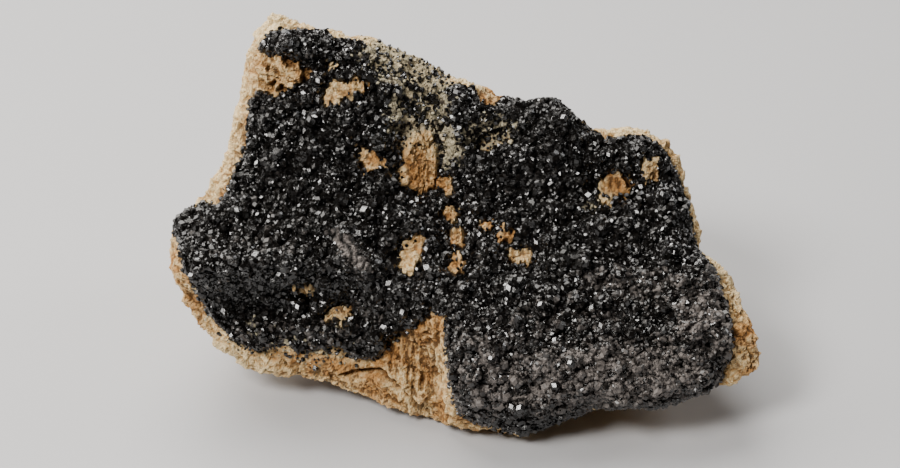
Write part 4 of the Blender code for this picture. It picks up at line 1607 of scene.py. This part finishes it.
@dataclass(frozen=True)
class Softbox:
    """A square area light: where it stands, its side in metres, and its power in watts."""

    name: str
    place: Triple
    side: float
    power: float
    tint: Triple = (1.0, 1.0, 1.0)

    def build(self, target: Vector) -> None:
        """Hangs the light and turns it to the target."""
        light = bpy.data.lights.new(self.name, "AREA")
        light.size = self.side
        light.energy = self.power
        light.color = self.tint
        obj = bpy.data.objects.new(self.name, light)
        obj.location = self.place
        obj.rotation_euler = (target - Vector(self.place)).to_track_quat("-Z", "Y").to_euler()
        bpy.context.scene.collection.objects.link(obj)


@dataclass
class Studio:
    """A pale floor, soft light mostly from above and behind, and the photograph's camera.

    Attributes:
        elevation: How far the camera looks down, in degrees.
        distance: From the camera to the face's plane, in metres.
        lens: The camera's focal length, in millimetres on a 36 mm sensor.
        aim: The (u, v) of the face that the picture's middle shows.
        floor_side: The floor's side, in metres.
        floor_colour: The floor's colour.
        floor_roughness: How matt the floor is.
        world_light: The strength of the light from all round.
        world_colour: Its colour.
        lights: The area lights.
        lit: The point that they are turned to, in metres.
    """

    elevation: float = 35.0
    distance: float = 0.48
    lens: float = 113.3
    aim: Pair = (-2.5, -1.5)
    floor_side: float = 3.0
    floor_colour: Colour = (0.46, 0.46, 0.47, 1.0)
    floor_roughness: float = 0.7
    world_light: float = 0.035
    world_colour: Colour = (0.9, 0.95, 1.0, 1.0)
    lights: tuple[Softbox, ...] = (
        Softbox("key_above_behind", (-0.14, 0.22, 0.46), 0.5, 5.5, (1.0, 0.97, 0.92)),
        Softbox("side_left", (-0.50, -0.04, 0.26), 0.24, 1.3, (1.0, 0.96, 0.9)),
        Softbox("side_right", (0.46, 0.12, 0.30), 0.14, 0.8),
        Softbox("left_above", (-0.30, -0.32, 0.52), 0.2, 5.6, (1.0, 0.97, 0.93)),
    )
    lit: Triple = (0.0, 0.0, 0.03)

    def build(self) -> bpy.types.Object:
        """Sets up the floor, the lights and the camera.

        Returns:
            The floor.
        """
        target = Vector(FACE.world(np.array((*self.aim, 0.0))) * MM)
        for light in self.lights:
            light.build(Vector(self.lit))
        world = bpy.data.worlds.new("studio")
        world.use_nodes = True
        inputs = world.node_tree.nodes["Background"].inputs
        inputs["Strength"].default_value = self.world_light
        inputs["Color"].default_value = self.world_colour
        bpy.context.scene.world = world
        self.camera(target)
        return self.floor()

    def camera(self, target: Vector) -> None:
        """Stands the camera so that it looks along +Y and down at the target."""
        down = math.radians(self.elevation)
        camera = bpy.data.cameras.new("photo_camera")
        camera.lens = self.lens
        camera.sensor_width = 36.0
        camera.clip_start = 0.01
        obj = bpy.data.objects.new("photo_camera", camera)
        obj.location = target + self.distance * Vector((0.0, -math.cos(down), math.sin(down)))
        obj.rotation_euler = (math.radians(90.0) - down, 0.0, 0.0)
        bpy.context.scene.collection.objects.link(obj)
        bpy.context.scene.camera = obj

    def floor(self) -> bpy.types.Object:
        """A level square just under the specimen, of plain matt colour."""
        half = self.floor_side / 2.0 / MM
        corners = half * np.array(((-1, -1, 0), (1, -1, 0), (1, 1, 0), (-1, 1, 0)), dtype=float)
        floor = Surface(corners, np.array(((0, 1, 2, 3),))).piece("studio_floor", {}, flat=True)
        matt = {"Base Color": self.floor_colour, "Roughness": self.floor_roughness}
        floor.data.materials.append(Bench("pale_floor").finish(matt))
        return floor


def main() -> None:
    """Builds the specimen's pieces and the studio, in order, and reports each piece."""
    logging.basicConfig(level=logging.INFO, format="%(name)s: %(message)s")
    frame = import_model()
    nodes = frame["nodes"]
    cover = CoverMap(Surface.read(nodes["garnet_crust"].data))

    rock_pieces, rock = SkarnBlock().build(nodes["matrix"], cover)
    crust_pieces = GarnetCrust().build(nodes["garnet_crust"], rock, cover)
    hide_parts("matrix")
    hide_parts("garnet_crust")
    for pieces, slot in ((rock_pieces, "rock"), (crust_pieces, "garnet")):
        for piece in pieces:
            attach(piece, "root")
            LOG.info("%s: %d faces", piece.name, len(piece.data.polygons))

    Studio().build()


if __name__ == "__main__":
    main()
